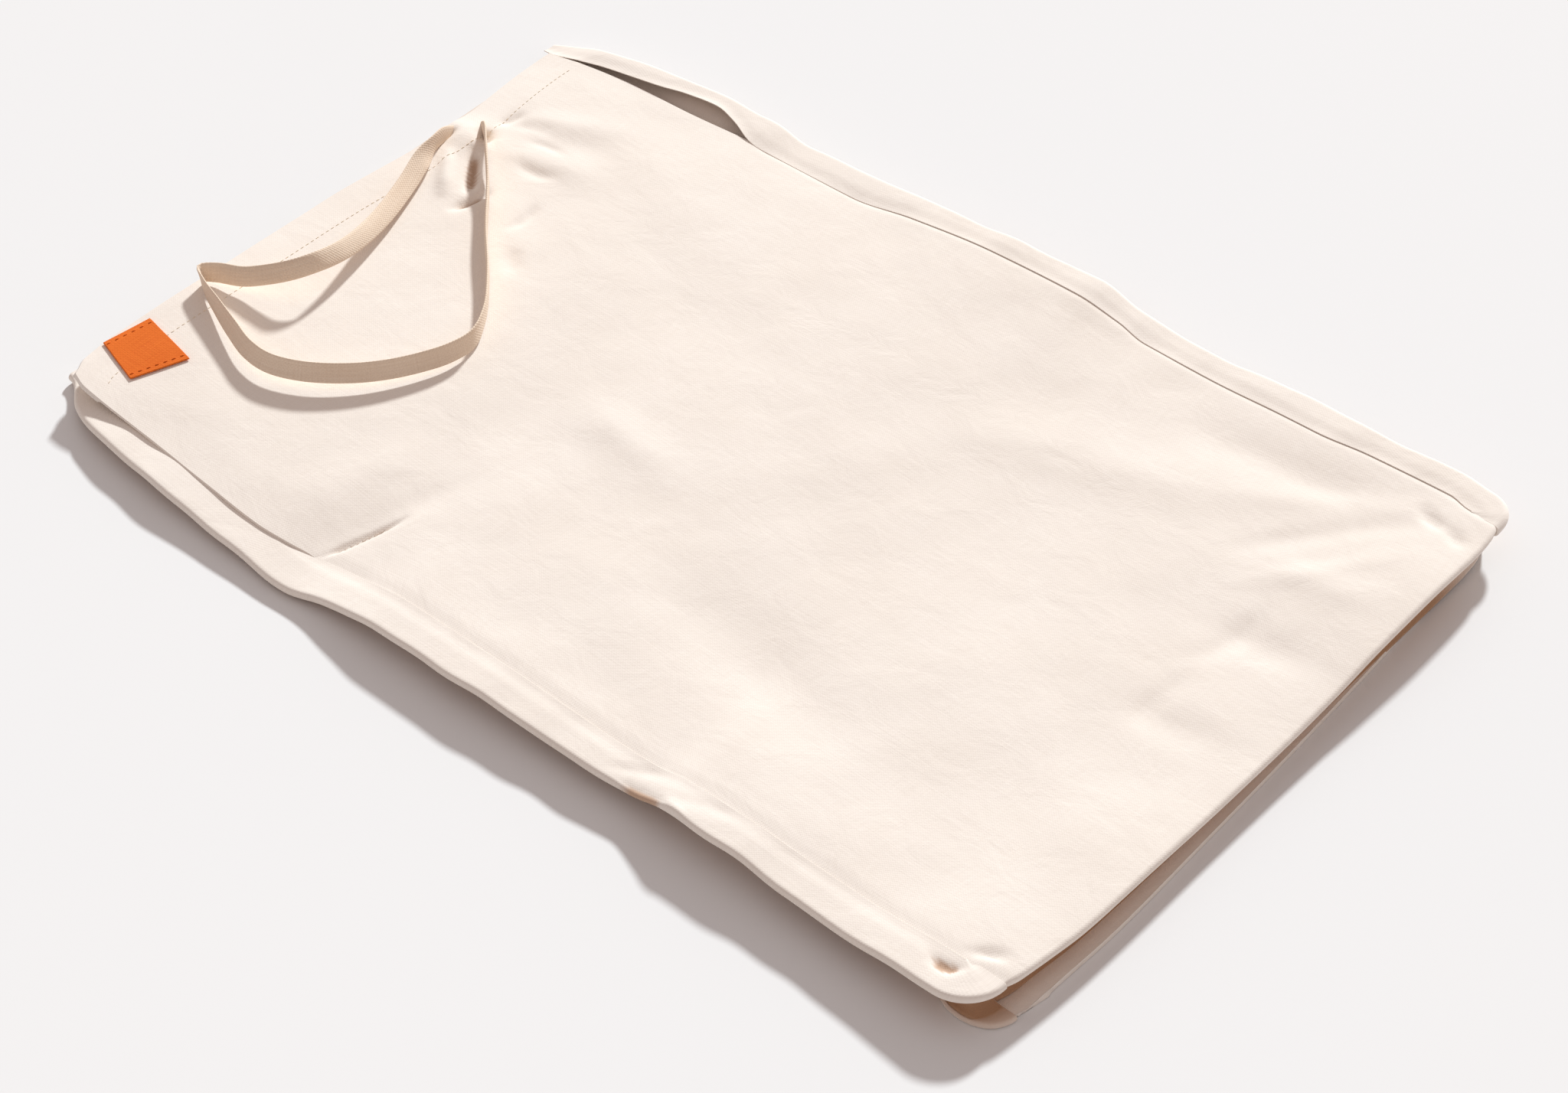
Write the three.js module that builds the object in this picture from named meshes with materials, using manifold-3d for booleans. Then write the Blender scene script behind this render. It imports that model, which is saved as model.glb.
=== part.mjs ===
// A flat cotton storage bag lying on its back, with a tape drawn out of its mouth in one loose loop.
// Millimetres, +Z up. X runs along the bag from its mouth (-X) to its bottom (+X), Y across it.
// The bag rests on Z = 0. Its two sides are folds of the back panel, which comes over on to the
// upper face on both sides and is sewn to the front panel there. Both side seams stay open near the mouth.
import * as THREE from "three";
import { mergeVertices } from "three/addons/utils/BufferGeometryUtils.js";
import Module from "manifold-3d";

// Driving dimensions
const CLOTH = 1.5; // thickness of each panel
const GAP = 0.3; // left between pieces that touch
const CASING_DEPTH = 15; // hem along the front mouth that the tape runs in
const FOLD_RADIUS = 2.25; // bend of the back panel round the bag's long sides
const CORNER_RUN = 20; // length that a bottom corner counts for in the tables of the sides
const PIVOT_REACH = 0.8; // from the upright line that a fold turns round at its corner out to the flap
const RECESS = 6; // how far the cloth goes in under a bottom corner before it comes out again as a lip
const BOTTOM_TURN = 3; // radius at which the upper leaf turns down to the bottom seam
const BOTTOM_LEAN = 9; // how far the bottom seam lies in from that edge
const TAPE_WIDTH = 8;
const TAPE_THICKNESS = 1.2;
const TAPE_STEPS = 80;
const LABEL_THICKNESS = 0.8;
const SLIT_LENGTH = 21; // the two slits that the tape leaves the casing by
const SLIT_WIDTH = 4;

const MIDDLE_TO_ORIGIN = [-3.6, 0, 0]; // puts the middle of the bag's outline on the origin

// The two long sides of the back panel. In line, out is the outline's distance from the bag's middle line
// and top the height of the fold. In flap, out is where the cloth ends on the upper face. Tuck is how far
// the cloth goes in under the fold to meet the floor. Lip is how far it shows past the outline instead, by
// the share of it that is a lip, and runs on round the bottom corner.
const NEAR = {
  sign: -1,
  mouthX: -229,
  cornerX: 213.2,
  line: [
    { x: -229, out: 133, top: 4.5 },
    { x: -212, out: 143.5, top: 6.4 },
    { x: -197, out: 149, top: 8.6 },
    { x: -168, out: 153.6, top: 9 },
    { x: -115, out: 157.6, top: 6.8 },
    { x: -83, out: 158.6, top: 5.2 },
    { x: -66, out: 156.6, top: 7.6 },
    { x: -40, out: 155.6, top: 11.8 },
    { x: 10, out: 155.2, top: 12 },
    { x: 66, out: 154.2, top: 10.4 },
    { x: 80, out: 153.8, top: 11 },
    { x: 96, out: 153.4, top: 14 },
    { x: 122, out: 153.8, top: 14.6 },
    { x: 150, out: 154.4, top: 13.4 },
    { x: 175, out: 155.6, top: 13 },
    { x: 213, out: 156, top: 15.2 },
  ],
  flap: [
    { x: -229, out: 122, top: 3.2 },
    { x: -212, out: 127, top: 4 },
    { x: -168, out: 129, top: 5.2 },
    { x: -112, out: 131, top: 4.6 },
    { x: -97, out: 140.3, top: 5 },
    { x: -83, out: 140.3, top: 5 },
    { x: -66, out: 140.3, top: 7.2 },
    { x: -40, out: 140.3, top: 11.4 },
    { x: 10, out: 140.3, top: 11.6 },
    { x: 66, out: 140.3, top: 10 },
    { x: 80, out: 140.3, top: 10.6 },
    { x: 96, out: 140.3, top: 13.6 },
    { x: 122, out: 140.3, top: 14.2 },
    { x: 150, out: 140.3, top: 13 },
    { x: 175, out: 140.3, top: 12.6 },
    { x: 213, out: 140.9, top: 14.8 },
  ],
  tuck: [
    { x: -229, tuck: 12 },
    { x: -168, tuck: 20 },
    { x: -83, tuck: 14 },
    { x: -40, tuck: 31 },
    { x: 234, tuck: 31 },
  ],
  lip: [
    { x: 186, lip: -20, share: 0 },
    { x: 204, lip: -10.5, share: 0.8 },
    { x: 213.2, lip: -4.5, share: 1 },
    { x: 218, lip: -0.6, share: 1 },
    { x: 226, lip: 2.6, share: 1 },
    { x: 230.5, lip: 4.6, share: 1 },
    { x: 233.2, lip: 5.4, share: 1 },
  ],
};
const FAR = {
  sign: 1,
  mouthX: -233,
  cornerX: 225.2,
  line: [
    { x: -233, out: 140, top: 6 },
    { x: -212, out: 147, top: 9 },
    { x: -170, out: 153.6, top: 11.5 },
    { x: -128, out: 157, top: 12.4 },
    { x: -103, out: 155.3, top: 10.6 },
    { x: -79, out: 156.2, top: 12 },
    { x: -55, out: 157.4, top: 14.6 },
    { x: 20, out: 158.6, top: 18.2 },
    { x: 40, out: 158.4, top: 18.4 },
    { x: 62, out: 156.4, top: 15.6 },
    { x: 85, out: 156.1, top: 14 },
    { x: 105, out: 156, top: 14.2 },
    { x: 140, out: 157.2, top: 17.2 },
    { x: 166, out: 156.8, top: 16.2 },
    { x: 190, out: 156.4, top: 16.4 },
    { x: 225, out: 156.1, top: 17.6 },
  ],
  flap: [
    { x: -233, out: 133.6, top: 5.6 },
    { x: -214, out: 137.2, top: 8 },
    { x: -205, out: 139.5, top: 8.8 },
    { x: -185, out: 143.2, top: 10 },
    { x: -160, out: 142.4, top: 10 },
    { x: -118, out: 140.4, top: 9.2 },
    { x: -69, out: 140.4, top: 9.6 },
    { x: -40, out: 143.5, top: 12.8 },
    { x: 0, out: 145.4, top: 16.2 },
    { x: 40, out: 145.9, top: 17.4 },
    { x: 60, out: 145.4, top: 15.6 },
    { x: 75, out: 143, top: 13.8 },
    { x: 154, out: 143.5, top: 13.6 },
    { x: 176, out: 145.6, top: 16 },
    { x: 225, out: 145.9, top: 17.2 },
  ],
  tuck: [
    { x: -233, tuck: 12 },
    { x: -170, tuck: 22 },
    { x: -100, tuck: 31 },
    { x: 180, tuck: 31 },
    { x: 212, tuck: 12 },
    { x: 226, tuck: 9 },
  ],
  lip: [
    { x: 188, lip: -20, share: 0 },
    { x: 236, lip: -20, share: 0 },
  ],
};

// Bottom edge of the lower leaf, from the near corner to the far one.
const LOWER_BOTTOM = [
  { y: -140, x: 235 },
  { y: -127, x: 238.8 },
  { y: -114, x: 240.4 },
  { y: -90, x: 239.5 },
  { y: -40, x: 237.5 },
  { y: 20, x: 235 },
  { y: 70, x: 232.5 },
  { y: 145, x: 227.4 },
];

// Front panel: its two long edges, and the height of its upper face along them and down its middle.
const FRONT_NEAR = [
  { x: -222, y: -136, z: 14.5 },
  { x: -211, y: -138.6, z: 14.2 },
  { x: -180, y: -139.8, z: 13 },
  { x: -140, y: -142.2, z: 11.6 },
  { x: -118, y: -142.8, z: 10 },
  { x: -107, y: -141.4, z: 9 },
  { x: -98, y: -139.7, z: 7.8 },
  { x: -84, y: -139.7, z: 5 },
  { x: -66, y: -139.7, z: 7.2 },
  { x: -40, y: -139.7, z: 11.4 },
  { x: 10, y: -139.7, z: 11.6 },
  { x: 66, y: -139.7, z: 10 },
  { x: 80, y: -139.7, z: 10.6 },
  { x: 96, y: -139.7, z: 13.6 },
  { x: 122, y: -139.7, z: 14.2 },
  { x: 150, y: -139.7, z: 13 },
  { x: 175, y: -139.7, z: 12.6 },
  { x: 213, y: -139.7, z: 14.8 },
];
const FRONT_FAR = [
  { x: -230, y: 132.6, z: 7.5 },
  { x: -212, y: 136, z: 8 },
  { x: -185, y: 139, z: 8.2 },
  { x: -160, y: 139.5, z: 8.6 },
  { x: -118, y: 139.5, z: 8.8 },
  { x: -69, y: 139.5, z: 9.4 },
  { x: -40, y: 142.5, z: 12.6 },
  { x: 0, y: 144.5, z: 16 },
  { x: 40, y: 145, z: 17.2 },
  { x: 60, y: 144.5, z: 15.4 },
  { x: 75, y: 142, z: 13.6 },
  { x: 154, y: 142.5, z: 13.4 },
  { x: 176, y: 144.7, z: 15.8 },
  { x: 225, y: 144.5, z: 17 },
];
const FRONT_MIDDLE = [
  { x: -226, z: 11.4 },
  { x: -185, z: 11.2 },
  { x: -90, z: 11 },
  { x: -50, z: 12.2 },
  { x: 20, z: 13.2 },
  { x: 120, z: 13 },
  { x: 237, z: 13.4 },
];

// Mouth edge of the front panel, from the near corner to the far one.
const MOUTH = [
  { y: -138, x: -218 },
  { y: -128, x: -222.5 },
  { y: -112, x: -224.5 },
  { y: 0, x: -225 },
  { y: 62, x: -222.5 },
  { y: 134, x: -229 },
];

// Bottom edge of the front panel: its outline, and the height of its upper face there.
const BOTTOM = [
  { y: -140, x: 229, top: 15 },
  { y: -131, x: 231.2, top: 14.9 },
  { y: -116, x: 234.2, top: 14.8 },
  { y: -90, x: 236.2, top: 14.8 },
  { y: -60, x: 237, top: 14.8 },
  { y: -18, x: 237.1, top: 13 },
  { y: 10, x: 237.2, top: 13.6 },
  { y: 40, x: 236.9, top: 14.9 },
  { y: 66, x: 236.6, top: 17.2 },
  { y: 100, x: 236.3, top: 18.3 },
  { y: 145, x: 236.6, top: 17.4 },
];

// Soft ridges (height above 0) and troughs (below 0) of the front panel, each along a straight line.
const FOLDS = [
  { from: [-86, -141], to: [-72, -82], width: 5, height: -2 }, // crease at the foot of the near vent
  { from: [-104, -126], to: [-96, -80], width: 9, height: 0.9 }, // cloth standing up beside that crease
  { from: [-224, 62], to: [-206, 70], width: 11, height: 2.6 }, // cloth bunched where the tape comes out
  { from: [-204, 86], to: [-172, 108], width: 7, height: 1.8 }, // gathers that spread from there
  { from: [-192, 72], to: [-158, 80], width: 7, height: 1.5 },
  { from: [-186, 90], to: [-160, 96], width: 6, height: -1.3 },
  { from: [-178, 58], to: [-150, 52], width: 7, height: -1.4 },
  { from: [-156, 34], to: [-128, 12], width: 8, height: -1.0 },
  { from: [-58, -22], to: [-18, -30], width: 10, height: 1.3 },
  { from: [60, 62], to: [150, 96], width: 14, height: 1.2 }, // broad drape of the panel
  { from: [20, -70], to: [120, -92], width: 16, height: -1.3 },
  { from: [120, 116], to: [196, 124], width: 9, height: -1.1 },
  { from: [182, -14], to: [220, -8], width: 8, height: -1.0 }, // puckers along the bottom seam
  { from: [184, 38], to: [220, 42], width: 8, height: -1.0 },
  { from: [186, 74], to: [220, 80], width: 8, height: 1.0 },
  { from: [206, -136], to: [222, -127], width: 7, height: -2.4 }, // dimples of the turned corners
  { from: [208, 132], to: [228, 125], width: 7, height: -2 },
];

// Corners of the sewn label, in plan.
const LABEL_CORNERS = [
  [-223.4, -118],
  [-220.8, -97],
  [-193.5, -102],
  [-201.5, -124.2],
];

// The tape's middle line, from the slit nearer the bag's middle to the one at the mouth edge.
const TAPE_ROUTE = [
  [-213.5, 77, 7],
  [-205, 70.5, 14.6],
  [-193.5, 59.5, 17.2],
  [-179, 45.5, 16],
  [-159, 24, 15.8],
  [-139, 4.5, 16],
  [-124.5, -12.5, 16],
  [-118, -25.5, 16],
  [-118.5, -36.5, 16.2],
  [-122.5, -47.5, 16.4],
  [-129.5, -60, 16.6],
  [-138.5, -71, 16.9],
  [-152, -82, 17.4],
  [-165, -87.5, 17.8],
  [-176.5, -87.2, 18],
  [-189.5, -83, 18],
  [-204, -77.6, 18],
  [-216, -72.8, 18],
  [-222.6, -68.4, 18],
  [-218.6, -64, 17.8],
  [-208.5, -59.3, 18.4],
  [-199.5, -54.3, 21.2],
  [-191.6, -48.4, 24.2],
  [-187.6, -40.5, 25],
  [-187.2, -31, 23.2],
  [-189.4, -18, 20.2],
  [-195.5, 2, 16.8],
  [-204.8, 26, 15.2],
  [-211.4, 42, 15.8],
  [-216.5, 56, 14.4],
  [-220.5, 67.5, 7],
];
// How far the tape leans back from upright, in degrees, by its share of the route.
const TAPE_LEAN = [
  { share: 0, lean: 0 },
  { share: 0.28, lean: 0 },
  { share: 0.36, lean: -24 },
  { share: 0.54, lean: -28 },
  { share: 0.62, lean: 0 },
  { share: 0.67, lean: 36 },
  { share: 0.76, lean: 34 },
  { share: 0.88, lean: 64 },
  { share: 0.92, lean: 60 },
  { share: 0.96, lean: 0 },
  { share: 1, lean: 0 },
];
const SLIT_AT = [
  { x: -207.5, y: 72.5, heading: Math.atan2(-6.5, 8.5) },
  { x: -218, y: 60.5, heading: Math.atan2(-11.5, 4) },
];

const COTTON = { color: 0xf2e6d6, roughness: 0.95, metalness: 0 };
const COTTON_TAPE = { color: 0xefe2cc, roughness: 0.9, metalness: 0 };
const ORANGE_WEAVE = { color: 0xe9692a, roughness: 0.85, metalness: 0 };

const lerp = THREE.MathUtils.lerp;
const smoothstep = THREE.MathUtils.smoothstep;

// A table's column at a place along its key: a cubic curve through the rows that never overshoots them.
function at(table, column, place, key = "x") {
  const last = table.length - 1;
  if (place <= table[0][key]) return table[0][column];
  if (place >= table[last][key]) return table[last][column];
  let i = 0;
  while (place > table[i + 1][key]) i++;
  const grade = (k) => (table[k + 1][column] - table[k][column]) / (table[k + 1][key] - table[k][key]);
  const slope = (k) => {
    if (k === 0 || k === last) return 0;
    const both = grade(k - 1) * grade(k);
    return both > 0 ? (2 * both) / (grade(k - 1) + grade(k)) : 0;
  };
  const span = table[i + 1][key] - table[i][key];
  const t = (place - table[i][key]) / span;
  const rise = span * t * (1 - t) * ((1 - t) * slope(i) - t * slope(i + 1));
  return lerp(table[i][column], table[i + 1][column], smoothstep(t, 0, 1)) + rise;
}

// Height that the soft ridges and troughs add at a point: a bell across each line, fading past its ends.
function foldHeight(x, y) {
  let sum = 0;
  for (const { from, to, width, height } of FOLDS) {
    const dx = to[0] - from[0];
    const dy = to[1] - from[1];
    const t = THREE.MathUtils.clamp(((x - from[0]) * dx + (y - from[1]) * dy) / (dx * dx + dy * dy), 0, 1);
    const away = Math.hypot(x - from[0] - t * dx, y - from[1] - t * dy);
    sum += height * Math.exp(-((away / width) ** 2));
  }
  return sum;
}

// Plain height of the front panel: a blend of its two long edges, with a crown between them.
function frontBase(x, s) {
  const nearZ = at(FRONT_NEAR, "z", x);
  const farZ = at(FRONT_FAR, "z", x);
  const crown = at(FRONT_MIDDLE, "z", x) - (nearZ + farZ) / 2;
  return lerp(nearZ, farZ, s) + crown * (1 - (2 * s - 1) ** 4);
}

// Upper face of the front panel: its plain height, led over to its bottom edge's, and the folds.
function frontTop(x, y) {
  const near = at(FRONT_NEAR, "y", x);
  const far = at(FRONT_FAR, "y", x);
  const s = THREE.MathUtils.clamp((y - near) / (far - near), 0, 1);
  const edgeX = at(BOTTOM, "x", y, "y");
  const toBottom = (at(BOTTOM, "top", y, "y") - frontBase(edgeX, s)) * smoothstep(x - edgeX, -60, -2);
  const inside = smoothstep(s, 0, 0.03) * smoothstep(1 - s, 0, 0.03);
  return frontBase(x, s) + toBottom + foldHeight(x, y) * (0.4 + 0.6 * inside);
}

// A closed sheet between two equal grids of points, one for each face.
function sheetBetween(faceA, faceB) {
  const rows = faceA.length;
  const columns = faceA[0].length;
  const points = [...faceA.flat(), ...faceB.flat()];
  const a = (k, j) => k * columns + j;
  const b = (k, j) => rows * columns + k * columns + j;
  const index = [];
  const quad = (p, q, r, s) => index.push(p, q, r, p, r, s);
  for (let k = 0; k + 1 < rows; k++) {
    for (let j = 0; j + 1 < columns; j++) {
      quad(a(k, j), a(k + 1, j), a(k + 1, j + 1), a(k, j + 1));
      quad(b(k, j), b(k, j + 1), b(k + 1, j + 1), b(k + 1, j));
    }
    quad(a(k, 0), b(k, 0), b(k + 1, 0), a(k + 1, 0));
    quad(a(k, columns - 1), a(k + 1, columns - 1), b(k + 1, columns - 1), b(k, columns - 1));
  }
  for (let j = 0; j + 1 < columns; j++) {
    quad(a(0, j), a(0, j + 1), b(0, j + 1), b(0, j));
    quad(a(rows - 1, j), b(rows - 1, j), b(rows - 1, j + 1), a(rows - 1, j + 1));
  }
  const geometry = new THREE.BufferGeometry().setFromPoints(points);
  geometry.setIndex(index);
  return geometry;
}

// Even places from one value to another, both included.
function places(from, to, count) {
  return Array.from({ length: count }, (_, i) => lerp(from, to, i / (count - 1)));
}

// Middle line of the back panel across one side, from the flap's end out to the fold, round it and down to
// the floor, as distances out and heights. Where the cloth is tucked in, it comes down on one smooth run.
// Where it is a lip, it goes in under the fold, comes out again and turns back under itself.
function sideSection(side, x, turn) {
  const along = x + (CORNER_RUN * turn) / (Math.PI / 2);
  const top = at(side.line, "top", x);
  const out = at(side.line, "out", x);
  const r = Math.min(FOLD_RADIUS, (top - CLOTH) / 2);
  const fold = out - CLOTH / 2 - r;
  const low = top - CLOTH / 2 - 2 * r;
  const flapEnd = at(side.flap, "out", x);
  const flapZ = at(side.flap, "top", x) - CLOTH / 2;
  const points = places(0, 1, 5).map((s) => {
    return [lerp(flapEnd, fold, s), lerp(flapZ, low + 2 * r, 1 - (1 - s) ** 2)];
  });
  for (const angle of places(Math.PI / 2, -Math.PI / 2, 7).slice(1)) {
    points.push([fold + r * Math.cos(angle), low + r + r * Math.sin(angle)]);
  }
  const run = at(side.tuck, "tuck", x) - CLOTH / 2 - r;
  const tucked = places(0, 1, 12).map((t) => [fold - run * t, lerp(low, CLOTH / 2, smoothstep(t, 0, 1))]);
  const lipEnd = out + at(side.lip, "lip", along);
  const bend = (CLOTH + GAP) / 2;
  const lipTop = CLOTH / 2 + 2 * bend;
  const lip = places(0, Math.PI, 6).map((angle) => {
    return [fold - RECESS * Math.sin(angle), (low + lipTop) / 2 + ((low - lipTop) / 2) * Math.cos(angle)];
  });
  for (const angle of places(Math.PI / 2, -Math.PI / 2, 5)) {
    const round = lipEnd - CLOTH / 2 - bend;
    lip.push([round + bend * Math.cos(angle), CLOTH / 2 + bend + bend * Math.sin(angle)]);
  }
  lip.push([lipEnd - CLOTH / 2 - 2 * bend, CLOTH / 2]);
  const share = at(side.lip, "share", along);
  const blend = (p, q) => [lerp(p[0], q[0], share), lerp(p[1], q[1], share)];
  points.push(...tucked.map((p, i) => blend(p, lip[i])).slice(1));
  return points;
}

// Points of the back panel's middle line at one station of a side, which may be turned round its corner.
function sideStation(side, x, turn) {
  const pivot = at(side.flap, "out", side.cornerX) - PIVOT_REACH;
  return sideSection(side, x, turn).map(([out, z]) => {
    const reach = out - pivot;
    return new THREE.Vector3(x + reach * Math.sin(turn), side.sign * (pivot + reach * Math.cos(turn)), z);
  });
}

// Unit normals of a grid of points, from the slopes along its rows and its columns.
function normalsOf(grid) {
  const between = (list, i) => [list[Math.max(i - 1, 0)], list[Math.min(i + 1, list.length - 1)]];
  return grid.map((row, k) =>
    row.map((_, j) => {
      const [before, after] = between(grid, k).map((other) => other[j]);
      const [left, right] = between(row, j);
      const down = new THREE.Vector3().subVectors(after, before);
      return down.cross(new THREE.Vector3().subVectors(right, left)).normalize();
    }),
  );
}

// Back panel: at each station a fold on the near side, the floor and a fold on the far side, all one cloth.
// The last stations turn round both bottom corners, and the floor between them goes out to the bottom edge.
function backPanel() {
  const shares = [...places(0, 0.3, 13), ...places(0.325, 0.5, 8), ...places(0.535, 1, 14)];
  const stations = shares.map((share) => ({ share, turn: 0 }));
  stations.push(...places(0, Math.PI / 2, 10).slice(1).map((turn) => ({ share: 1, turn })));
  const across = [0.025, 0.05, 0.09, 0.17, 0.3, 0.45, 0.6, 0.75, 0.9];
  const middle = stations.map(({ share, turn }) => {
    const near = sideStation(NEAR, lerp(NEAR.mouthX, NEAR.cornerX, share), turn);
    const far = sideStation(FAR, lerp(FAR.mouthX, FAR.cornerX, share), turn).reverse();
    const floor = across.map((s) => {
      const p = near.at(-1).clone().lerp(far[0], s);
      p.x += Math.sin(turn) ** 2 * Math.max(0, at(LOWER_BOTTOM, "x", p.y, "y") - p.x);
      return p;
    });
    return [...near, ...floor, ...far];
  });
  const normals = normalsOf(middle);
  const face = (offset) =>
    middle.map((row, k) => row.map((p, j) => p.clone().addScaledVector(normals[k][j], offset)));
  return sheetBetween(face(CLOTH / 2), face(-CLOTH / 2));
}

// Front panel: the crowned sheet with a thicker hem at the mouth, turned down at the bottom to its seam.
function frontPanel() {
  const columns = [0, 0.015, ...places(0.035, 0.965, 27), 0.985, 1];
  const lengthwise = [...places(0, 0.17, 12), ...places(0.19, 1, 33)];
  const top = [];
  const under = [];
  const r = BOTTOM_TURN;
  const at3d = (x, s) => {
    const y = lerp(at(FRONT_NEAR, "y", x), at(FRONT_FAR, "y", x), s);
    return new THREE.Vector3(x, y, frontTop(x, y));
  };
  const edgeX = columns.map((s) => {
    const y = lerp(at(FRONT_NEAR, "y", 235), at(FRONT_FAR, "y", 235), s);
    return at(BOTTOM, "x", y, "y") - r;
  });
  for (const u of lengthwise) {
    const upper = columns.map((s, j) => {
      const y = lerp(at(FRONT_NEAR, "y", -225), at(FRONT_FAR, "y", -225), s);
      return at3d(lerp(at(MOUTH, "x", y, "y"), edgeX[j], u), s);
    });
    top.push(upper);
    under.push(
      upper.map((p) => {
        const fromMouth = p.x - at(MOUTH, "x", p.y, "y");
        const hem = 1 + smoothstep(-fromMouth, -CASING_DEPTH - 4, -CASING_DEPTH);
        return new THREE.Vector3(p.x, p.y, p.z - CLOTH * hem);
      }),
    );
  }
  // Turned edge, then a wall that leans in to the bottom seam on the lower leaf.
  const edge = top.at(-1);
  for (const turn of [Math.PI / 6, Math.PI / 3, Math.PI / 2]) {
    const ring = (radius) => (p) => {
      return new THREE.Vector3(p.x + radius * Math.sin(turn), p.y, p.z - r + radius * Math.cos(turn));
    };
    top.push(edge.map(ring(r)));
    under.push(edge.map(ring(r - CLOTH)));
  }
  for (const down of [0.33, 0.67, 1]) {
    const wall = (inset) => (p) => {
      const x = p.x + r - inset - BOTTOM_LEAN * down ** 1.5;
      return new THREE.Vector3(x, p.y, lerp(p.z - r, CLOTH + 2.5 * GAP, down));
    };
    top.push(edge.map(wall(0)));
    under.push(edge.map(wall(CLOTH)));
  }
  return sheetBetween(top, under);
}

// Label: a thin sheet that follows the front panel's upper face.
function label() {
  const grid = (lift) =>
    places(0, 1, 6).map((u) =>
      places(0, 1, 6).map((v) => {
        const [a, b, c, d] = LABEL_CORNERS;
        const x = lerp(lerp(a[0], b[0], v), lerp(d[0], c[0], v), u);
        const y = lerp(lerp(a[1], b[1], v), lerp(d[1], c[1], v), u);
        return new THREE.Vector3(x, y, frontTop(x, y) + lift);
      }),
    );
  return sheetBetween(grid(1.5 * GAP + LABEL_THICKNESS), grid(1.5 * GAP));
}

// The tape's path carries the tape on edge, leant back by its table.
class TapePath extends THREE.CatmullRomCurve3 {
  computeFrenetFrames(segments) {
    const up = new THREE.Vector3(0, 0, 1);
    const shares = places(0, 1, segments + 1);
    const tangents = shares.map((u) => this.getTangentAt(u));
    const binormals = tangents.map((t, i) => {
      const lean = THREE.MathUtils.degToRad(at(TAPE_LEAN, "lean", shares[i], "share"));
      return new THREE.Vector3().crossVectors(t, up).normalize().applyAxisAngle(t, -lean);
    });
    const normals = tangents.map((t, i) => new THREE.Vector3().crossVectors(binormals[i], t));
    return { tangents, normals, binormals };
  }
}

function tape() {
  const w = TAPE_WIDTH / 2;
  const h = TAPE_THICKNESS / 2;
  const bevel = h / 2;
  const section = new THREE.Shape([
    new THREE.Vector2(w, -h + bevel),
    new THREE.Vector2(w, h - bevel),
    new THREE.Vector2(w - bevel, h),
    new THREE.Vector2(-w + bevel, h),
    new THREE.Vector2(-w, h - bevel),
    new THREE.Vector2(-w, -h + bevel),
    new THREE.Vector2(-w + bevel, -h),
    new THREE.Vector2(w - bevel, -h),
  ]);
  const path = new TapePath(
    TAPE_ROUTE.map((p) => new THREE.Vector3(...p)),
    false,
    "centripetal",
  );
  return new THREE.ExtrudeGeometry(section, { steps: TAPE_STEPS, extrudePath: path });
}

// Cutting, on closed solids with shared corners.
const wasm = await Module();
wasm.setup();

function solidOf(geometry) {
  const bare = geometry.clone();
  bare.deleteAttribute("normal");
  bare.deleteAttribute("uv");
  const merged = mergeVertices(bare, 1e-4);
  return new wasm.Manifold(
    new wasm.Mesh({
      numProp: 3,
      vertProperties: new Float32Array(merged.attributes.position.array),
      triVerts: new Uint32Array(merged.index.array),
    }),
  );
}

function geometryOf(solid) {
  const { vertProperties, triVerts, numProp } = solid.getMesh();
  const geometry = new THREE.BufferGeometry();
  const flat = numProp === 3 ? vertProperties : vertProperties.filter((_, i) => i % numProp < 3);
  geometry.setAttribute("position", new THREE.BufferAttribute(new Float32Array(flat), 3));
  geometry.setIndex(Array.from(triVerts));
  return geometry;
}

// Front panel with the two slits that the tape leaves by.
function slitFrontPanel() {
  let solid = solidOf(frontPanel());
  for (const { x, y, heading } of SLIT_AT) {
    const cutter = new THREE.BoxGeometry(SLIT_LENGTH, SLIT_WIDTH, 30);
    cutter.rotateZ(heading);
    cutter.translate(x, y, 12);
    solid = solid.subtract(solidOf(cutter));
  }
  return geometryOf(solid);
}

// One piece of the bag as a named mesh.
function piece(name, geometry, finish) {
  geometry.computeVertexNormals();
  const mesh = new THREE.Mesh(geometry, new THREE.MeshStandardMaterial(finish));
  mesh.name = name;
  return mesh;
}

const bag = new THREE.Group();
bag.position.set(...MIDDLE_TO_ORIGIN);
bag.add(
  piece("back_panel", backPanel(), COTTON),
  piece("front_panel", slitFrontPanel(), COTTON),
  piece("drawstring_tape", tape(), COTTON_TAPE),
  piece("label", label(), ORANGE_WEAVE),
);

const part = new THREE.Group();
part.add(bag);

export default part;
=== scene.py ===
"""Looks of a flat cotton storage bag that lies on its back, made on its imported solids.

The bag's own frame is in millimetres: X runs from the mouth to the bottom, Y from the near side
to the far side, and Z up from the surface that the bag lies on. Every shape is worked out there
with numpy, and put into the row frame, in metres, when its mesh is made.
"""
import logging
import math
from dataclasses import dataclass, field
from enum import Enum
from typing import Any

import bpy
import numpy as np
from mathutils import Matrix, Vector
from numpy.typing import NDArray


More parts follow.
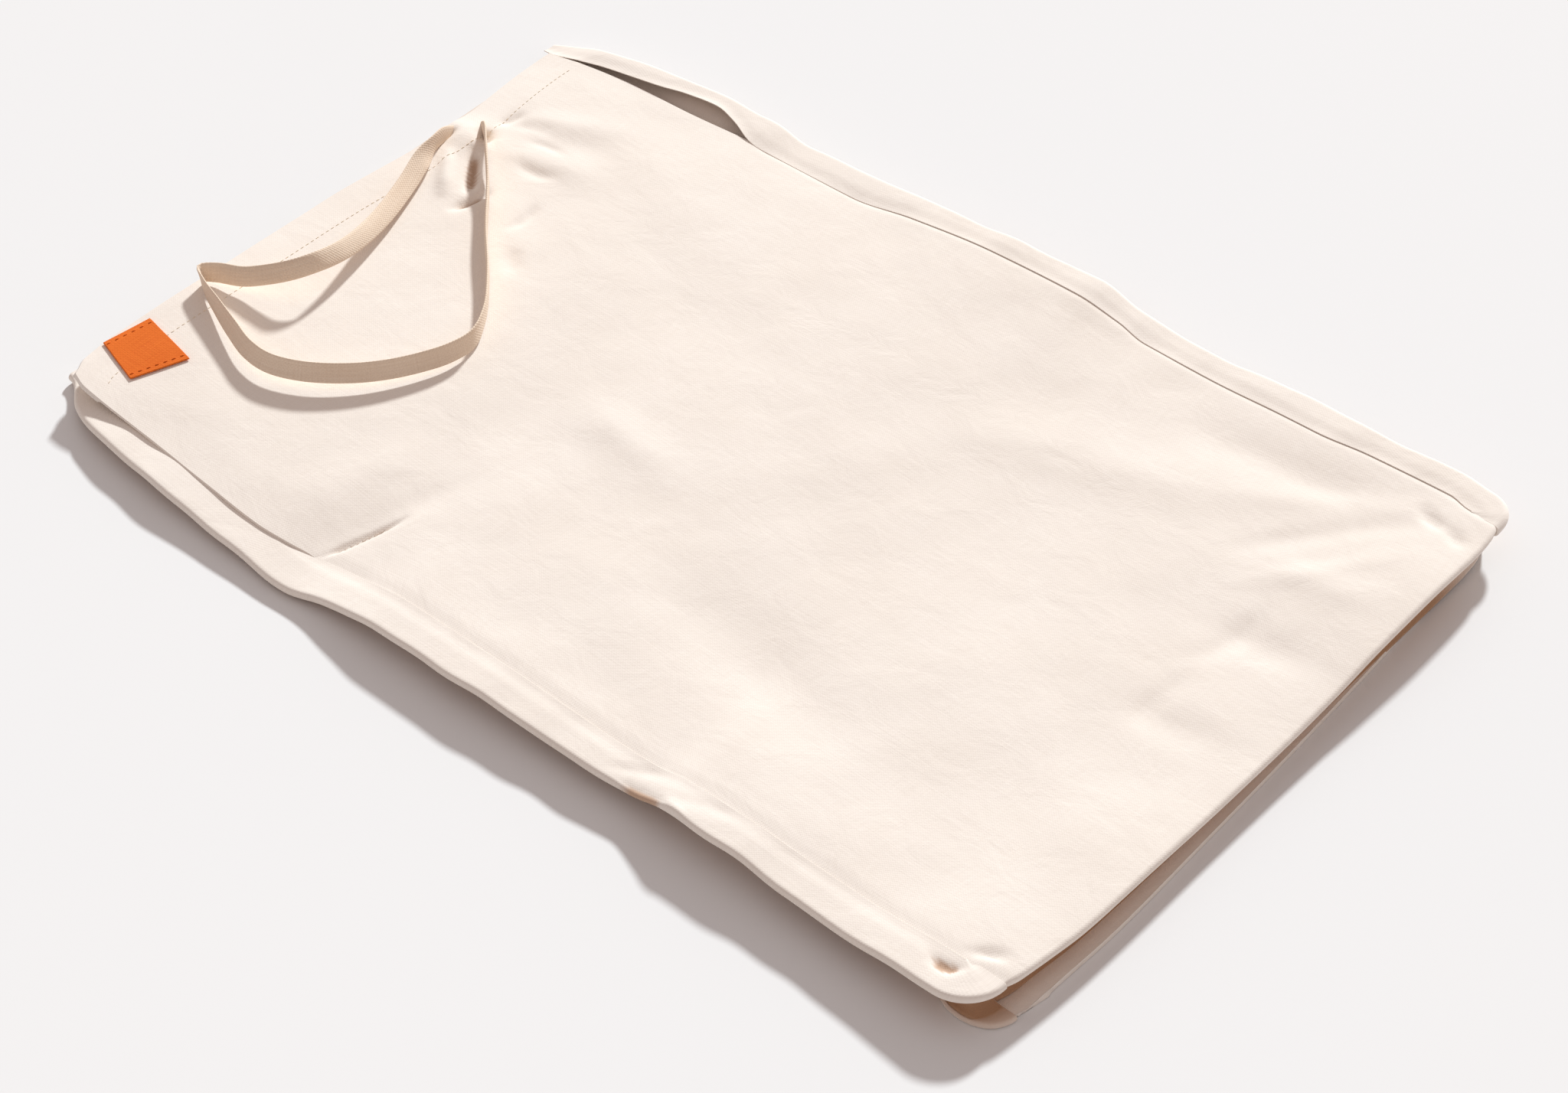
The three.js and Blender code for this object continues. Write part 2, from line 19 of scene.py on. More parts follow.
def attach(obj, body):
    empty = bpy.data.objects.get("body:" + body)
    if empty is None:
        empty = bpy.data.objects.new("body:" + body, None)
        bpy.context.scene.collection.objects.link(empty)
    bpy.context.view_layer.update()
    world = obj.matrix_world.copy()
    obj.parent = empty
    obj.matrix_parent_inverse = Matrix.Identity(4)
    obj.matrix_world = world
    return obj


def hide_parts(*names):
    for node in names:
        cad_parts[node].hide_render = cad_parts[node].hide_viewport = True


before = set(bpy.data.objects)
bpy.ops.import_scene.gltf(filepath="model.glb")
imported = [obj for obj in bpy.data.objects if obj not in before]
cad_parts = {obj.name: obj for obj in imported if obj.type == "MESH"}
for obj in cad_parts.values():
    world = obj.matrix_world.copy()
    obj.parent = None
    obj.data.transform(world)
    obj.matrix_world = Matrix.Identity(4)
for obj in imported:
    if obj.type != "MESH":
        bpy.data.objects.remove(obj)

Array = NDArray[np.float64]
Place = tuple[float, float]
Rows = tuple[Place, ...]
Spans = tuple[tuple[float, int], ...]
Colour = tuple[float, float, float, float]

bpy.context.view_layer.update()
LOG = logging.getLogger("cotton_bag")
MM = 0.001
MIDDLE_TO_ORIGIN = np.array([-3.6, 0.0, 0.0])  # from the bag's own frame to the row frame, mm
BODY = "root"
UP = np.array([0.0, 0.0, 1.0])
QUARTER_TURN = math.pi / 2.0
RIM_SHARE = 0.9  # of half the thickness, that a sheet's rim stands out
PAINTED_CREASE_SHADE = 0.8  # the most painted shade, a brown tone, that a deep crease takes


def smoothstep(value: Array, low: float, high: float) -> Array:
    """Return 0 below low, 1 above high and an S-shaped cubic between them."""
    t = np.clip((value - low) / (high - low), 0.0, 1.0)
    return t * t * (3.0 - 2.0 * t)


def bell(distance: Array, width: float | Array) -> Array:
    """Return a bell curve of the distance, down to a third at the width."""
    return np.exp(-((distance / width) ** 2))


def mix(a: Any, b: Any, share: Any) -> Any:
    """Return a at share 0, b at share 1, and a straight blend between."""
    return a + (b - a) * share


def unit(vectors: Array) -> Array:
    """Return the vectors, each divided by its length."""
    return vectors / np.maximum(np.linalg.norm(vectors, axis=-1, keepdims=True), 1e-9)


def shifted(rows: Rows, by: float) -> Rows:
    """Return the rows with the same amount added to every value."""
    return tuple((place, value + by) for place, value in rows)


def graded(spans: Spans) -> Array:
    """Return places from 0 to the last span's end, closer together in some spans than in others.

    Args:
        spans: The end and the number of even steps of each; it starts where the last one ended.

    Returns:
        The places, both ends among them.
    """
    ends = [0.0, *(end for end, _ in spans)]
    parts = [np.linspace(a, b, steps, endpoint=False) for a, (b, steps) in zip(ends, spans)]
    return np.concatenate([*parts, ends[-1:]])


@dataclass(frozen=True)
class Track:
    """A smooth curve through rows of (place, value), which never overshoots its rows."""

    rows: Rows

    def __call__(self, place: Array) -> Array:
        """Return the curve's value at each place.

        Each span is a cubic whose slope at a row is the harmonic mean of the two grades beside
        it, or 0 where they have opposite signs and at both ends.

        Args:
            place: Where the curve is read, in any shape.

        Returns:
            The values, in the same shape.
        """
        key, value = np.array(self.rows, float).T
        grade = np.diff(value) / np.diff(key)
        both = grade[:-1] * grade[1:]
        total = np.where(both > 0, grade[:-1] + grade[1:], 1.0)
        slope = np.concatenate([[0.0], np.where(both > 0, 2.0 * both / total, 0.0), [0.0]])
        held = np.clip(place, key[0], key[-1])
        i = np.clip(np.searchsorted(key, held, side="right") - 1, 0, len(key) - 2)
        span = key[i + 1] - key[i]
        t = (held - key[i]) / span
        rise = span * t * (1.0 - t) * ((1.0 - t) * slope[i] - t * slope[i + 1])
        return mix(value[i], value[i + 1], t * t * (3.0 - 2.0 * t)) + rise


class CreaseKind(Enum):
    """How a crease falls away across its line."""

    SOFT = "soft"
    SHARP = "sharp"


CREASE_END = 0.35  # share of a crease's height that is left at its ends
CREASE_FADE = (-0.1, 0.3)  # shares of its length where it starts to rise from there, and is whole
BOW_REACH = 0.75  # share of its length, each way from the middle, that the bow goes on for
SHARP_TOP = 0.3  # radius of a sharp crease's top, in widths
SHARP_FALL = 1.4  # how steeply it falls away


@dataclass(frozen=True)
class Crease:
    """One ridge (height above 0) or trough (below 0) of a cloth, along a line that may bow."""

    start: Place
    end: Place
    width: float
    height: float
    bow: float = 0.0
    kind: CreaseKind = CreaseKind.SOFT

    def at(self, x: Array, y: Array) -> Array:
        """Return the height that the crease adds at each place.

        Across its line a soft crease is a bell, and a sharp one a tent with a rounded top. It
        fades in and out over its ends. The line is a parabola that leaves its chord by bow.

        Args:
            x: Places along the bag.
            y: Places across it.

        Returns:
            The heights, above 0 on a ridge.
        """
        along = np.array(self.end) - np.array(self.start)
        length = float(np.hypot(*along))
        dx, dy = along / length
        t = ((x - self.start[0]) * dx + (y - self.start[1]) * dy) / length
        across = (y - self.start[1]) * dx - (x - self.start[0]) * dy
        across = across - 4.0 * self.bow * t * (1.0 - t) * (np.abs(t - 0.5) < BOW_REACH)
        past = np.maximum(np.maximum(-t, t - 1.0), 0.0) * length
        away = np.hypot(across, past)
        rise = (1.0 - CREASE_END) * smoothstep(t, *CREASE_FADE) * smoothstep(1.0 - t, *CREASE_FADE)
        fade = CREASE_END + rise
        if self.kind is CreaseKind.SHARP:
            top = SHARP_TOP * self.width
            rounded = np.sqrt(away**2 + top**2) - top
            return self.height * fade * np.exp(-SHARP_FALL * rounded / self.width)
        return self.height * fade * bell(away, self.width)


@dataclass(frozen=True)
class Unevenness:
    """The small lying waves of a cloth: a seeded sum of flat waves in many directions."""

    seed: int
    shortest: float
    longest: float
    height: float
    waves: int = 26
    steepness: float = 1.1  # power of a wave's length that its height follows

    def at(self, x: Array, y: Array) -> Array:
        """Return the sum of the waves at each place, where a longer wave is higher than a short one.

        Args:
            x: Places along the bag.
            y: Places across it.

        Returns:
            The heights, above and below 0.
        """
        rng = np.random.default_rng(self.seed)
        total = np.zeros(np.broadcast(x, y).shape)
        for length in np.geomspace(self.shortest, self.longest, self.waves):
            heading, phase = rng.uniform(0.0, 2.0 * math.pi, 2)
            turn = 2.0 * math.pi / length
            size = self.height * (length / self.longest) ** self.steepness
            total += size * np.sin(turn * (x * np.cos(heading) + y * np.sin(heading)) + phase)
        return total / math.sqrt(self.waves / 2.0)


def along_waves(x: Array, seed: int, shortest: float, longest: float) -> Array:
    """Return a seeded wavy line of about unit height: a sum of sine waves of six lengths.

    Args:
        x: Places along the line.
        seed: Seed of the waves' phases.
        shortest: Length of the shortest wave.
        longest: Length of the longest.

    Returns:
        The line's height at each place.
    """
    rng = np.random.default_rng(seed)
    total = np.zeros_like(x)
    for length in np.geomspace(shortest, longest, 6):
        total += np.sin(2.0 * math.pi * x / length + rng.uniform(0.0, 2.0 * math.pi))
    return total / math.sqrt(3.0)


def normals_of(surface: Array) -> Array:
    """Return the unit normals of a grid of points: its two slopes crossed, rows by columns."""
    return unit(np.cross(np.gradient(surface, axis=0), np.gradient(surface, axis=1)))


def grid_quads(rows: int, columns: int) -> NDArray[np.int64]:
    """Return the quads of a grid of points that are numbered row by row.

    Args:
        rows: Rows of the grid.
        columns: Its columns.

    Returns:
        The quads, four numbers each.
    """
    index = np.arange(rows * columns).reshape(rows, columns)
    quads = [index[:-1, :-1], index[1:, :-1], index[1:, 1:], index[:-1, 1:]]
    return np.stack(quads, axis=-1).reshape(-1, 4)


def tube_quads(index: NDArray[np.int64]) -> NDArray[np.int64]:
    """Return the quads between rings of numbered points, each ring closed on itself.

    Args:
        index: Numbers of the points, rings by points, with more axes before them for more tubes.

    Returns:
        The quads of all tubes, four numbers each.
    """
    wrapped = np.concatenate([index, index[..., :1]], axis=-1)
    here, following = wrapped[..., :-1, :], wrapped[..., 1:, :]
    quads = [here[..., :-1], here[..., 1:], following[..., 1:], following[..., :-1]]
    return np.stack(quads, axis=-1).reshape(-1, 4)


def rim_order(rows: int, columns: int) -> tuple[NDArray[np.int64], NDArray[np.int64]]:
    """Return the border points of a grid in a ring, and the inner neighbour of each.

    Args:
        rows: Rows of the grid, whose points are numbered row by row.
        columns: Its columns.

    Returns:
        Numbers of the border points, and of the points one step in from them.
    """
    index = np.arange(rows * columns).reshape(rows, columns)
    row, column = (np.clip(np.arange(count), 1, count - 2) for count in (rows, columns))
    border, inner = (
        np.concatenate([grid[0, :-1], grid[:-1, -1], grid[-1, :0:-1], grid[:0:-1, 0]])
        for grid in (index, index[row][:, column])
    )
    return border, inner


@dataclass
class MeshDraft:
    """Points, quads, caps and a cloth coordinate, whose Z is a share of painted shade, for one mesh, in
    the bag's own frame.
    """

    points: Array
    quads: NDArray[np.int64]
    weave: Array
    caps: list[NDArray[np.int64]] = field(default_factory=list)
    borders: tuple[NDArray[np.int64], ...] = ()  # rings of points where the shading breaks

    def to_object(self, name: str, material: bpy.types.Material) -> bpy.types.Object:
        """Make the mesh and its object.

        Args:
            name: The object's name.
            material: Its one material.

        Returns:
            The object, at the origin, with its place in its mesh.
        """
        mesh = bpy.data.meshes.new(name)
        corners = np.concatenate([self.quads.ravel(), *self.caps]).astype(np.int32)
        counts = np.concatenate([np.full(len(self.quads), 4), [len(c) for c in self.caps]])
        starts = np.concatenate([[0], np.cumsum(counts)[:-1]]).astype(np.int32)
        mesh.vertices.add(len(self.points))
        mesh.loops.add(len(corners))
        mesh.polygons.add(len(counts))
        placed = (self.points + MIDDLE_TO_ORIGIN) * MM
        mesh.vertices.foreach_set("co", placed.astype(np.float32).ravel())
        mesh.loops.foreach_set("vertex_index", corners)
        mesh.polygons.foreach_set("loop_start", starts)
        mesh.polygons.foreach_set("use_smooth", np.ones(len(counts), bool))
        mesh.update(calc_edges=True)
        if self.borders:
            on_border = np.zeros(len(self.points), bool)
            on_border[np.concatenate(self.borders)] = True
            ends = np.empty(2 * len(mesh.edges), np.int32)
            mesh.edges.foreach_get("vertices", ends)
            sharp = mesh.attributes.new("sharp_edge", "BOOLEAN", "EDGE")
            sharp.data.foreach_set("value", on_border[ends].reshape(-1, 2).all(axis=1))
        weave = mesh.attributes.new("weave", "FLOAT_VECTOR", "POINT")
        weave.data.foreach_set("vector", self.weave.astype(np.float32).ravel())
        mesh.validate()
        mesh.materials.append(material)
        obj = bpy.data.objects.new(name, mesh)
        bpy.context.scene.collection.objects.link(obj)
        return obj


def sheet_draft(upper: Array, under: Array, weave: Array, under_depth: float = 1.0) -> MeshDraft:
    """Close two grids of points into one thin sheet with a rounded rim.

    The rim has one ring of points half-way between the two faces, pushed outwards by nearly
    half of the thickness there.

    Args:
        upper: Points of the face that shows, rows by columns.
        under: Points of the other face.
        weave: Cloth coordinate of each point, in mm, with its share of painted shade by how deep in a
            fold it is.
        under_depth: Share of that painted shade for the other face.

    Returns:
        The closed sheet.
    """
    rows, columns = upper.shape[:2]
    count = rows * columns
    ring, inside = rim_order(rows, columns)
    flat_upper, flat_under, flat_weave = (g.reshape(-1, 3) for g in (upper, under, weave))
    outward = unit(flat_upper[ring] - flat_upper[inside])
    half = np.linalg.norm(flat_upper[ring] - flat_under[ring], axis=1, keepdims=True) / 2.0
    edge = (flat_upper[ring] + flat_under[ring]) / 2.0 + outward * half * RIM_SHARE
    middle = 2 * count + np.arange(len(ring))
    following = np.roll(np.arange(len(ring)), -1)
    to_edge = np.stack([ring, middle, middle[following], ring[following]], axis=-1)
    to_under = np.stack([middle, ring + count, ring[following] + count, middle[following]], axis=-1)
    faces = grid_quads(rows, columns)
    quads = np.concatenate([faces, faces[:, ::-1] + count, to_edge, to_under])
    points = np.concatenate([flat_upper, flat_under, edge])
    under_weave = flat_weave * np.array([1.0, 1.0, under_depth])
    woven = np.concatenate([flat_weave, under_weave, under_weave[ring]])
    return MeshDraft(points, quads, woven, borders=(ring, ring + count))


class Shader:
    """A material's node tree with one Principled shader, and a short way to add nodes to it."""

    def __init__(self, name: str) -> None:
        """Make the material, with its default nodes.

        Args:
            name: The material's name.
        """
        self.material = bpy.data.materials.new(name)
        self.material.use_nodes = True
        self.tree = self.material.node_tree
        self.surface = self.tree.nodes["Principled BSDF"]

    def node(self, kind: str, inputs: dict[Any, Any], **settings: Any) -> bpy.types.Node:
        """Add a node.

        Args:
            kind: Its type, without the leading ShaderNode.
            inputs: Its input sockets by name or number, each a value or another node's output.
            **settings: Its own properties.

        Returns:
            The node.
        """
        made = self.tree.nodes.new("ShaderNode" + kind)
        for name, value in settings.items():
            setattr(made, name, value)
        for key, value in inputs.items():
            self.feed(made.inputs[key], value)
        return made

    def feed(self, socket: bpy.types.NodeSocket, value: Any) -> None:
        """Link the socket to another node's output, or set its value.

        Args:
            socket: An input of a node.
            value: The output or the value that it takes.
        """
        if isinstance(value, bpy.types.NodeSocket):
            self.tree.links.new(value, socket)
        else:
            socket.default_value = value

    def math(self, operation: str, a: Any, b: Any = 0.0) -> bpy.types.NodeSocket:
        """Return the output of one arithmetic node."""
        return self.node("Math", {0: a, 1: b}, operation=operation).outputs[0]

    def threads(
        self, place: bpy.types.NodeSocket, stretch: tuple[float, float, float]
    ) -> bpy.types.NodeSocket:
        """Return noise that is drawn out along one thread direction.

        Args:
            place: The cloth coordinate, in mm.
            stretch: What each axis of it is multiplied by, least along the threads.

        Returns:
            The noise, from 0 to 1.
        """
        drawn = self.node("Mapping", {"Vector": place, "Scale": stretch})
        noise = {"Vector": drawn.outputs[0], "Scale": 1.0, "Detail": 2.0, "Roughness": 0.6}
        return self.node("TexNoise", noise).outputs["Fac"]

    def dress(self, **sockets: Any) -> bpy.types.Material:
        """Set or link sockets of the Principled shader.

        Args:
            **sockets: Values or outputs by the sockets' names, with _ for a space.

        Returns:
            The material.
        """
        for name, value in sockets.items():
            self.feed(self.surface.inputs[name.replace("_", " ")], value)
        return self.material


@dataclass(frozen=True)
class WovenFinish:
    """A matte woven cotton: over-and-under threads, slubs, faint tone changes and a soft fuzz, with
    painted shade deep in its folds.
    """

    name: str
    deep: Colour  # darker of its two tones
    light: Colour
    thread: float  # width of one thread, mm
    relief: float  # height of the threads, mm
    crumple: float  # and of the crumple
    sheen: float  # weight of the fuzz
    hollow: Colour = (0.50, 0.30, 0.18, 1)  # painted shade deep in a fold: a brown that stands for light gone from cloth to cloth
    slub_draw: float = 0.03  # scale of the noise along a slub, as a share of that across it
    slub_height: float = 1.5  # in reliefs
    over_height: float = 0.5  # of a thread that passes over another, in reliefs
    slub_share: float = 0.45  # of the tone that comes from slubs, the rest from clouds
    tone_span: Place = (0.45, 0.95)  # of both together, from the deep tone to the light one
    crumple_scale: float = 0.055  # of the noise, in cells a millimetre
    cloud_scale: float = 0.016

    def material(self) -> bpy.types.Material:
        """Make the material.

        The height is the product of a sine along the cloth and one across it, as threads pass
        over and under, with drawn-out noise both ways for slubs and a wider noise for crumple.

        Returns:
            The material, which reads the cloth coordinate of its mesh and the share of painted shade
            that the mesh carries.
        """
        shader = Shader(self.name)
        place = shader.node("Attribute", {}, attribute_name="weave").outputs["Vector"]
        split = shader.node("SeparateXYZ", {0: place})
        turn = math.pi / self.thread
        warp = shader.math("SINE", shader.math("MULTIPLY", split.outputs["X"], turn))
        weft = shader.math("SINE", shader.math("MULTIPLY", split.outputs["Y"], turn))
        over = shader.math("MULTIPLY", warp, weft)
        fine = 0.9 / self.thread
        slubs = shader.math(
            "ADD",
            shader.threads(place, (self.slub_draw * fine, fine, 0.0)),
            shader.threads(place, (fine, self.slub_draw * fine, 0.0)),
        )
        wide = {"Scale": self.crumple_scale, "Detail": 4.0, "Roughness": 0.55, "Distortion": 0.4}
        crumple = shader.node("TexNoise", {"Vector": place, **wide}).outputs["Fac"]
        clouds = {"Vector": place, "Scale": self.cloud_scale, "Detail": 3.0, "Roughness": 0.5}
        tone = shader.node("TexNoise", clouds).outputs["Fac"]
        height = shader.math("MULTIPLY", over, self.over_height)
        height = shader.math("ADD", height, shader.math("MULTIPLY", slubs, self.slub_height))
        weave = shader.node(
            "Bump", {"Height": height, "Strength": 1.0, "Distance": self.relief * MM}
        )
        folded = shader.node(
            "Bump",
            {
                "Height": crumple,
                "Strength": 1.0,
                "Distance": self.crumple * MM,
                "Normal": weave.outputs["Normal"],
            },
        )
        from_slubs = shader.math("MULTIPLY", slubs, self.slub_share)
        from_clouds = shader.math("MULTIPLY", tone, 1.0 - self.slub_share)
        ramp = shader.node("ValToRGB", {"Fac": shader.math("ADD", from_slubs, from_clouds)})
        colours = (self.deep, self.light)
        for stop, position, colour in zip(ramp.color_ramp.elements, self.tone_span, colours):
            stop.position = position
            stop.color = colour
        # Painted shade: the hollow colour is mixed into the tones by the share that the mesh carries.
        shade_mix = {0: split.outputs["Z"], 6: ramp.outputs["Color"], 7: self.hollow}
        return shader.dress(
            Base_Color=shader.node("Mix", shade_mix, data_type="RGBA").outputs[2],
            Roughness=0.92,
            Specular_IOR_Level=0.15,
            Sheen_Weight=self.sheen,
            Sheen_Roughness=0.45,
            Normal=folded.outputs["Normal"],
        )


@dataclass(frozen=True)
class FloorFinish:
    """The plain pale surface that the bag lies on."""

    name: str
    light: Colour
    shade: Colour

    def material(self) -> bpy.types.Material:
        """Make the material: an even paper white with a barely seen cloudiness.

        Returns:
            The material, which reads the floor's Object coordinates.
        """
        shader = Shader(self.name)
        place = shader.node("TexCoord", {}).outputs["Object"]
        noise = {"Vector": place, "Scale": 2.0, "Detail": 2.0}
        ramp = shader.node("ValToRGB", {"Fac": shader.node("TexNoise", noise).outputs["Fac"]})
        ramp.color_ramp.elements[0].color = self.shade
        ramp.color_ramp.elements[1].color = self.light
        return shader.dress(Base_Color=ramp.outputs["Color"], Roughness=0.9, Specular_IOR_Level=0.1)


BAG_COTTON = WovenFinish(
    "bag_cotton",
    deep=(0.84, 0.755, 0.675, 1),
    light=(0.90, 0.825, 0.755, 1),
    thread=0.55,
    relief=0.03,
    crumple=0.5,
    sheen=0.12,
)
TAPE_COTTON = WovenFinish(
    "tape_cotton",
    deep=(0.74, 0.57, 0.43, 1),
    light=(0.86, 0.72, 0.58, 1),
    thread=0.7,
    relief=0.10,
    crumple=0.15,
    sheen=0.12,
)
LABEL_WEAVE = WovenFinish(
    "label_weave",
    deep=(0.66, 0.115, 0.011, 1),
    light=(0.88, 0.21, 0.027, 1),
    thread=0.45,
    relief=0.06,
    crumple=0.2,
    sheen=0.08,
)
SEWING_THREAD = WovenFinish(
    "sewing_thread",
    deep=(0.80, 0.69, 0.54, 1),
    light=(0.90, 0.81, 0.68, 1),
    thread=0.3,
    relief=0.03,
    crumple=0.05,
    sheen=0.1,
)
PALE_FLOOR = FloorFinish(
    "pale_floor", light=(0.84, 0.84, 0.84, 1), shade=(0.83, 0.83, 0.83, 1)
)


class Side(Enum):
    """The two long sides of the bag, as the sign of Y."""

    NEAR = -1
    FAR = 1


# Points of a side's section, from the flap's end over the fold and down the wall to the floor.
FLAP_POINTS = 15
BEND_POINTS = 12
BEND_LIT = 8  # of the bend's points, before the cloth turns in under the fold
HOLLOW_POINTS = 11
RUN_POINTS = 4
LIP_POINTS = 6
WALL_POINTS = HOLLOW_POINTS + RUN_POINTS + LIP_POINTS + 1
SIDE_PAINTED_SHADE = np.concatenate(  # share of painted shade at each of them, by how deep in a fold it is
    [
        np.zeros(FLAP_POINTS + BEND_LIT),
        np.linspace(0.2, 1.0, BEND_POINTS - BEND_LIT),
        np.ones(HOLLOW_POINTS),
        np.linspace(0.8, 0.0, WALL_POINTS - HOLLOW_POINTS),
    ]
)


@dataclass(frozen=True)
class SideFold:
    """One long side of the back panel: the flap on the upper face, the fold and the wall under it.

    Distances out are measured from the bag's middle line towards the side.
    """

    side: Side
    mouth_x: float
    corner_x: float  # where the fold starts round the bottom corner
    line: Track  # outline
    top: Track  # height of the fold's top
    tuck: Track  # from the outline in to where the cloth meets the floor
    seam: Track  # where the flap ends
    seam_top: Track  # height of the flap's upper face there
    lip: Track  # how far the lower edge shows past the outline, at and round the bottom corner
    lip_share: Track  # how much of the wall is such a lip
    end_share: float  # of the cloth's thickness, at the flap's end
    radius: float = 2.0
    recess: float = 6.5  # how far the cloth goes in between the fold and the lip
    corner_run: float = 20.0  # length that the corner counts for in the two tracks of the lip
    pivot_reach: float = 0.8  # from the corner's pivot out to the flap's end
    corner_sink: float = 0.0  # how far the flap goes in under the front panel at the end of the corner
    corner_draw: float = 0.0  # how far the outline comes in there
    thin_run: Place = (1.4, 7.0)  # from the flap's end, where it grows to its whole thickness
    sink_from: float = 0.9  # turn round the corner where the flap starts to go in
    draw_from: float = 0.3  # and where the outline starts to come in
    crest_wave: float = 0.22  # height of the small waves along the fold's top
    crest_lengths: Place = (24.0, 90.0)  # shortest and longest of them
    crest_seed: int = 11
    lively: Place = (5.0, 10.0)  # height of the top where they start, and are whole
    line_wave: float = 0.25  # height of the small waves along the outline
    line_lengths: Place = (30.0, 110.0)
    line_seed: int = 21
    lip_bend: float = 0.55  # radius of the lip's turn, in thicknesses
    creases: tuple[Crease, ...] = ()  # of the flap
    crease_shade_span: Place = (0.6, 1.1)  # depth of a crease where its painted shade starts, and is whole

    def pivot(self) -> float:
        """Return the distance out of the upright line that the fold turns round at the corner."""
        return float(self.seam(np.array(self.corner_x))) - self.pivot_reach

    def section(self, x: Array, turn: Array, thickness: float) -> tuple[Array, Array, Array]:
        """Return the cloth's middle line across the side at each station.

        From the seam the flap rises to the fold's top, and the fold is a half circle. Below it
        the tucked cloth comes down to the floor on an S-shaped cubic. At the corner it goes in
        on a half ellipse instead, comes out again and turns back under itself as a lip. The
        two forms are blended by the lip's share.

        Args:
            x: Stations, one to a row.
            turn: How far each is turned round the corner.
            thickness: The cloth's thickness.

        Returns:
            Distance out, height and share of the thickness, stations by points.
        """
        lively = smoothstep(self.top(x), *self.lively)
        waves = along_waves(x, self.crest_seed + self.side.value, *self.crest_lengths)
        crest = self.top(x) + self.crest_wave * lively * waves
        bend = np.minimum(self.radius, (crest - thickness) / 2.0)
        waves = along_waves(x, self.line_seed + self.side.value, *self.line_lengths)
        out = self.line(x) + self.line_wave * waves
        sink = self.corner_sink * smoothstep(turn, self.sink_from, QUARTER_TURN)
        out = out - sink - self.corner_draw * smoothstep(turn, self.draw_from, QUARTER_TURN)
        crest = crest - sink
        crest, bend, out = (a[:, None] for a in (crest, bend, out))
        fold = out - thickness / 2.0 - bend
        low = crest - thickness / 2.0 - 2.0 * bend
        end = self.seam(x)[:, None]
        s = np.linspace(0.0, 1.0, FLAP_POINTS)[None, :]
        flap_out = mix(end, fold, s)
        end_z = (self.seam_top(x) - sink)[:, None] - thickness * self.end_share / 2.0
        flap_z = mix(end_z, low + 2.0 * bend, 1.0 - (1.0 - s) ** 2)
        share = mix(self.end_share, 1.0, smoothstep(flap_out - end, *self.thin_run))
        angle = np.linspace(QUARTER_TURN, -QUARTER_TURN, BEND_POINTS + 1)[None, 1:]
        bend_out, bend_z = fold + bend * np.cos(angle), low + bend + bend * np.sin(angle)
        along = (x + self.corner_run * turn / QUARTER_TURN)[:, None]
        wall_out, wall_z = mix(
            self.tucked(fold, low, out - self.tuck(x)[:, None], thickness),
            self.lipped(fold, low, out + self.lip(along), thickness),
            self.lip_share(along),
        )
        ones = np.ones((len(x), BEND_POINTS + WALL_POINTS))
        return (
            np.concatenate([flap_out, bend_out, wall_out], axis=1),
            np.concatenate([flap_z, bend_z, wall_z], axis=1),
            np.concatenate([share, ones], axis=1),
        )

    @staticmethod
    def tucked(fold: Array, low: Array, foot: Array, thickness: float) -> Array:
        """Return the wall that comes down from the fold to its foot on one smooth run."""
        t = np.linspace(0.0, 1.0, WALL_POINTS + 1)[None, 1:]
        return np.stack([mix(fold, foot, t), mix(low, thickness / 2.0, smoothstep(t, 0.0, 1.0))])

    def lipped(self, fold: Array, low: Array, lip: Array, thickness: float) -> Array:
        """Return the wall that goes in on a half ellipse, comes out to the lip and turns back under it.

        Args:
            fold: Distance out of the fold's middle at each station.
            low: Height of the fold's lower side there.
            lip: Distance out of the lip.
            thickness: The cloth's thickness.

        Returns:
            Distance out and height, each stations by points.
        """
        bend = thickness * self.lip_bend
        lip_top = thickness / 2.0 + 2.0 * bend
        inward = np.linspace(0.0, math.pi, HOLLOW_POINTS + 1)[None, 1:]
        middle = lip - thickness / 2.0 - bend
        seat = np.minimum(fold, middle)
        hollow_out = mix(fold, seat, (1.0 - np.cos(inward)) / 2.0) - self.recess * np.sin(inward)
        hollow_z = (low + lip_top) / 2.0 + (low - lip_top) / 2.0 * np.cos(inward)
        run = np.linspace(0.0, 1.0, RUN_POINTS + 1)[None, 1:]
        back = np.linspace(QUARTER_TURN, -QUARTER_TURN, LIP_POINTS + 1)[None, 1:]
        level = np.ones_like(low)
        out = (hollow_out, mix(seat, middle, run), middle + bend * np.cos(back), middle - bend)
        z = (
            hollow_z,
            level * lip_top * np.ones_like(run),
            level * (thickness / 2.0 + bend + bend * np.sin(back)),
            level * thickness / 2.0,
        )
        return np.stack([np.concatenate(out, axis=1), np.concatenate(z, axis=1)])

    def creased(self, x: Array, y: Array) -> tuple[Array, Array]:
        """Return what the creases do: the height is their sum, faded out over the fold's half circle.

        The painted shade, a brown tone, is an S-shaped cubic of how deep the trough is.

        Args:
            x: Places along the bag, stations by points of the section.
            y: Places across it.

        Returns:
            The height that they add, and the share of painted shade.
        """
        last = FLAP_POINTS - 1 + BEND_LIT
        flap = np.clip((last - np.arange(x.shape[1])) / BEND_LIT, 0.0, 1.0)
        total = sum((crease.at(x, y) for crease in self.creases), np.zeros_like(x))
        return flap * total, PAINTED_CREASE_SHADE * smoothstep(-total, *self.crease_shade_span)

    def around(self, x: Array, turn: Array, out: Array) -> tuple[Array, Array]:
        """Return X and Y of points at a distance out, at stations that turn round the corner."""
        reach = out - self.pivot()
        return x + reach * np.sin(turn), self.side.value * (self.pivot() + reach * np.cos(turn))


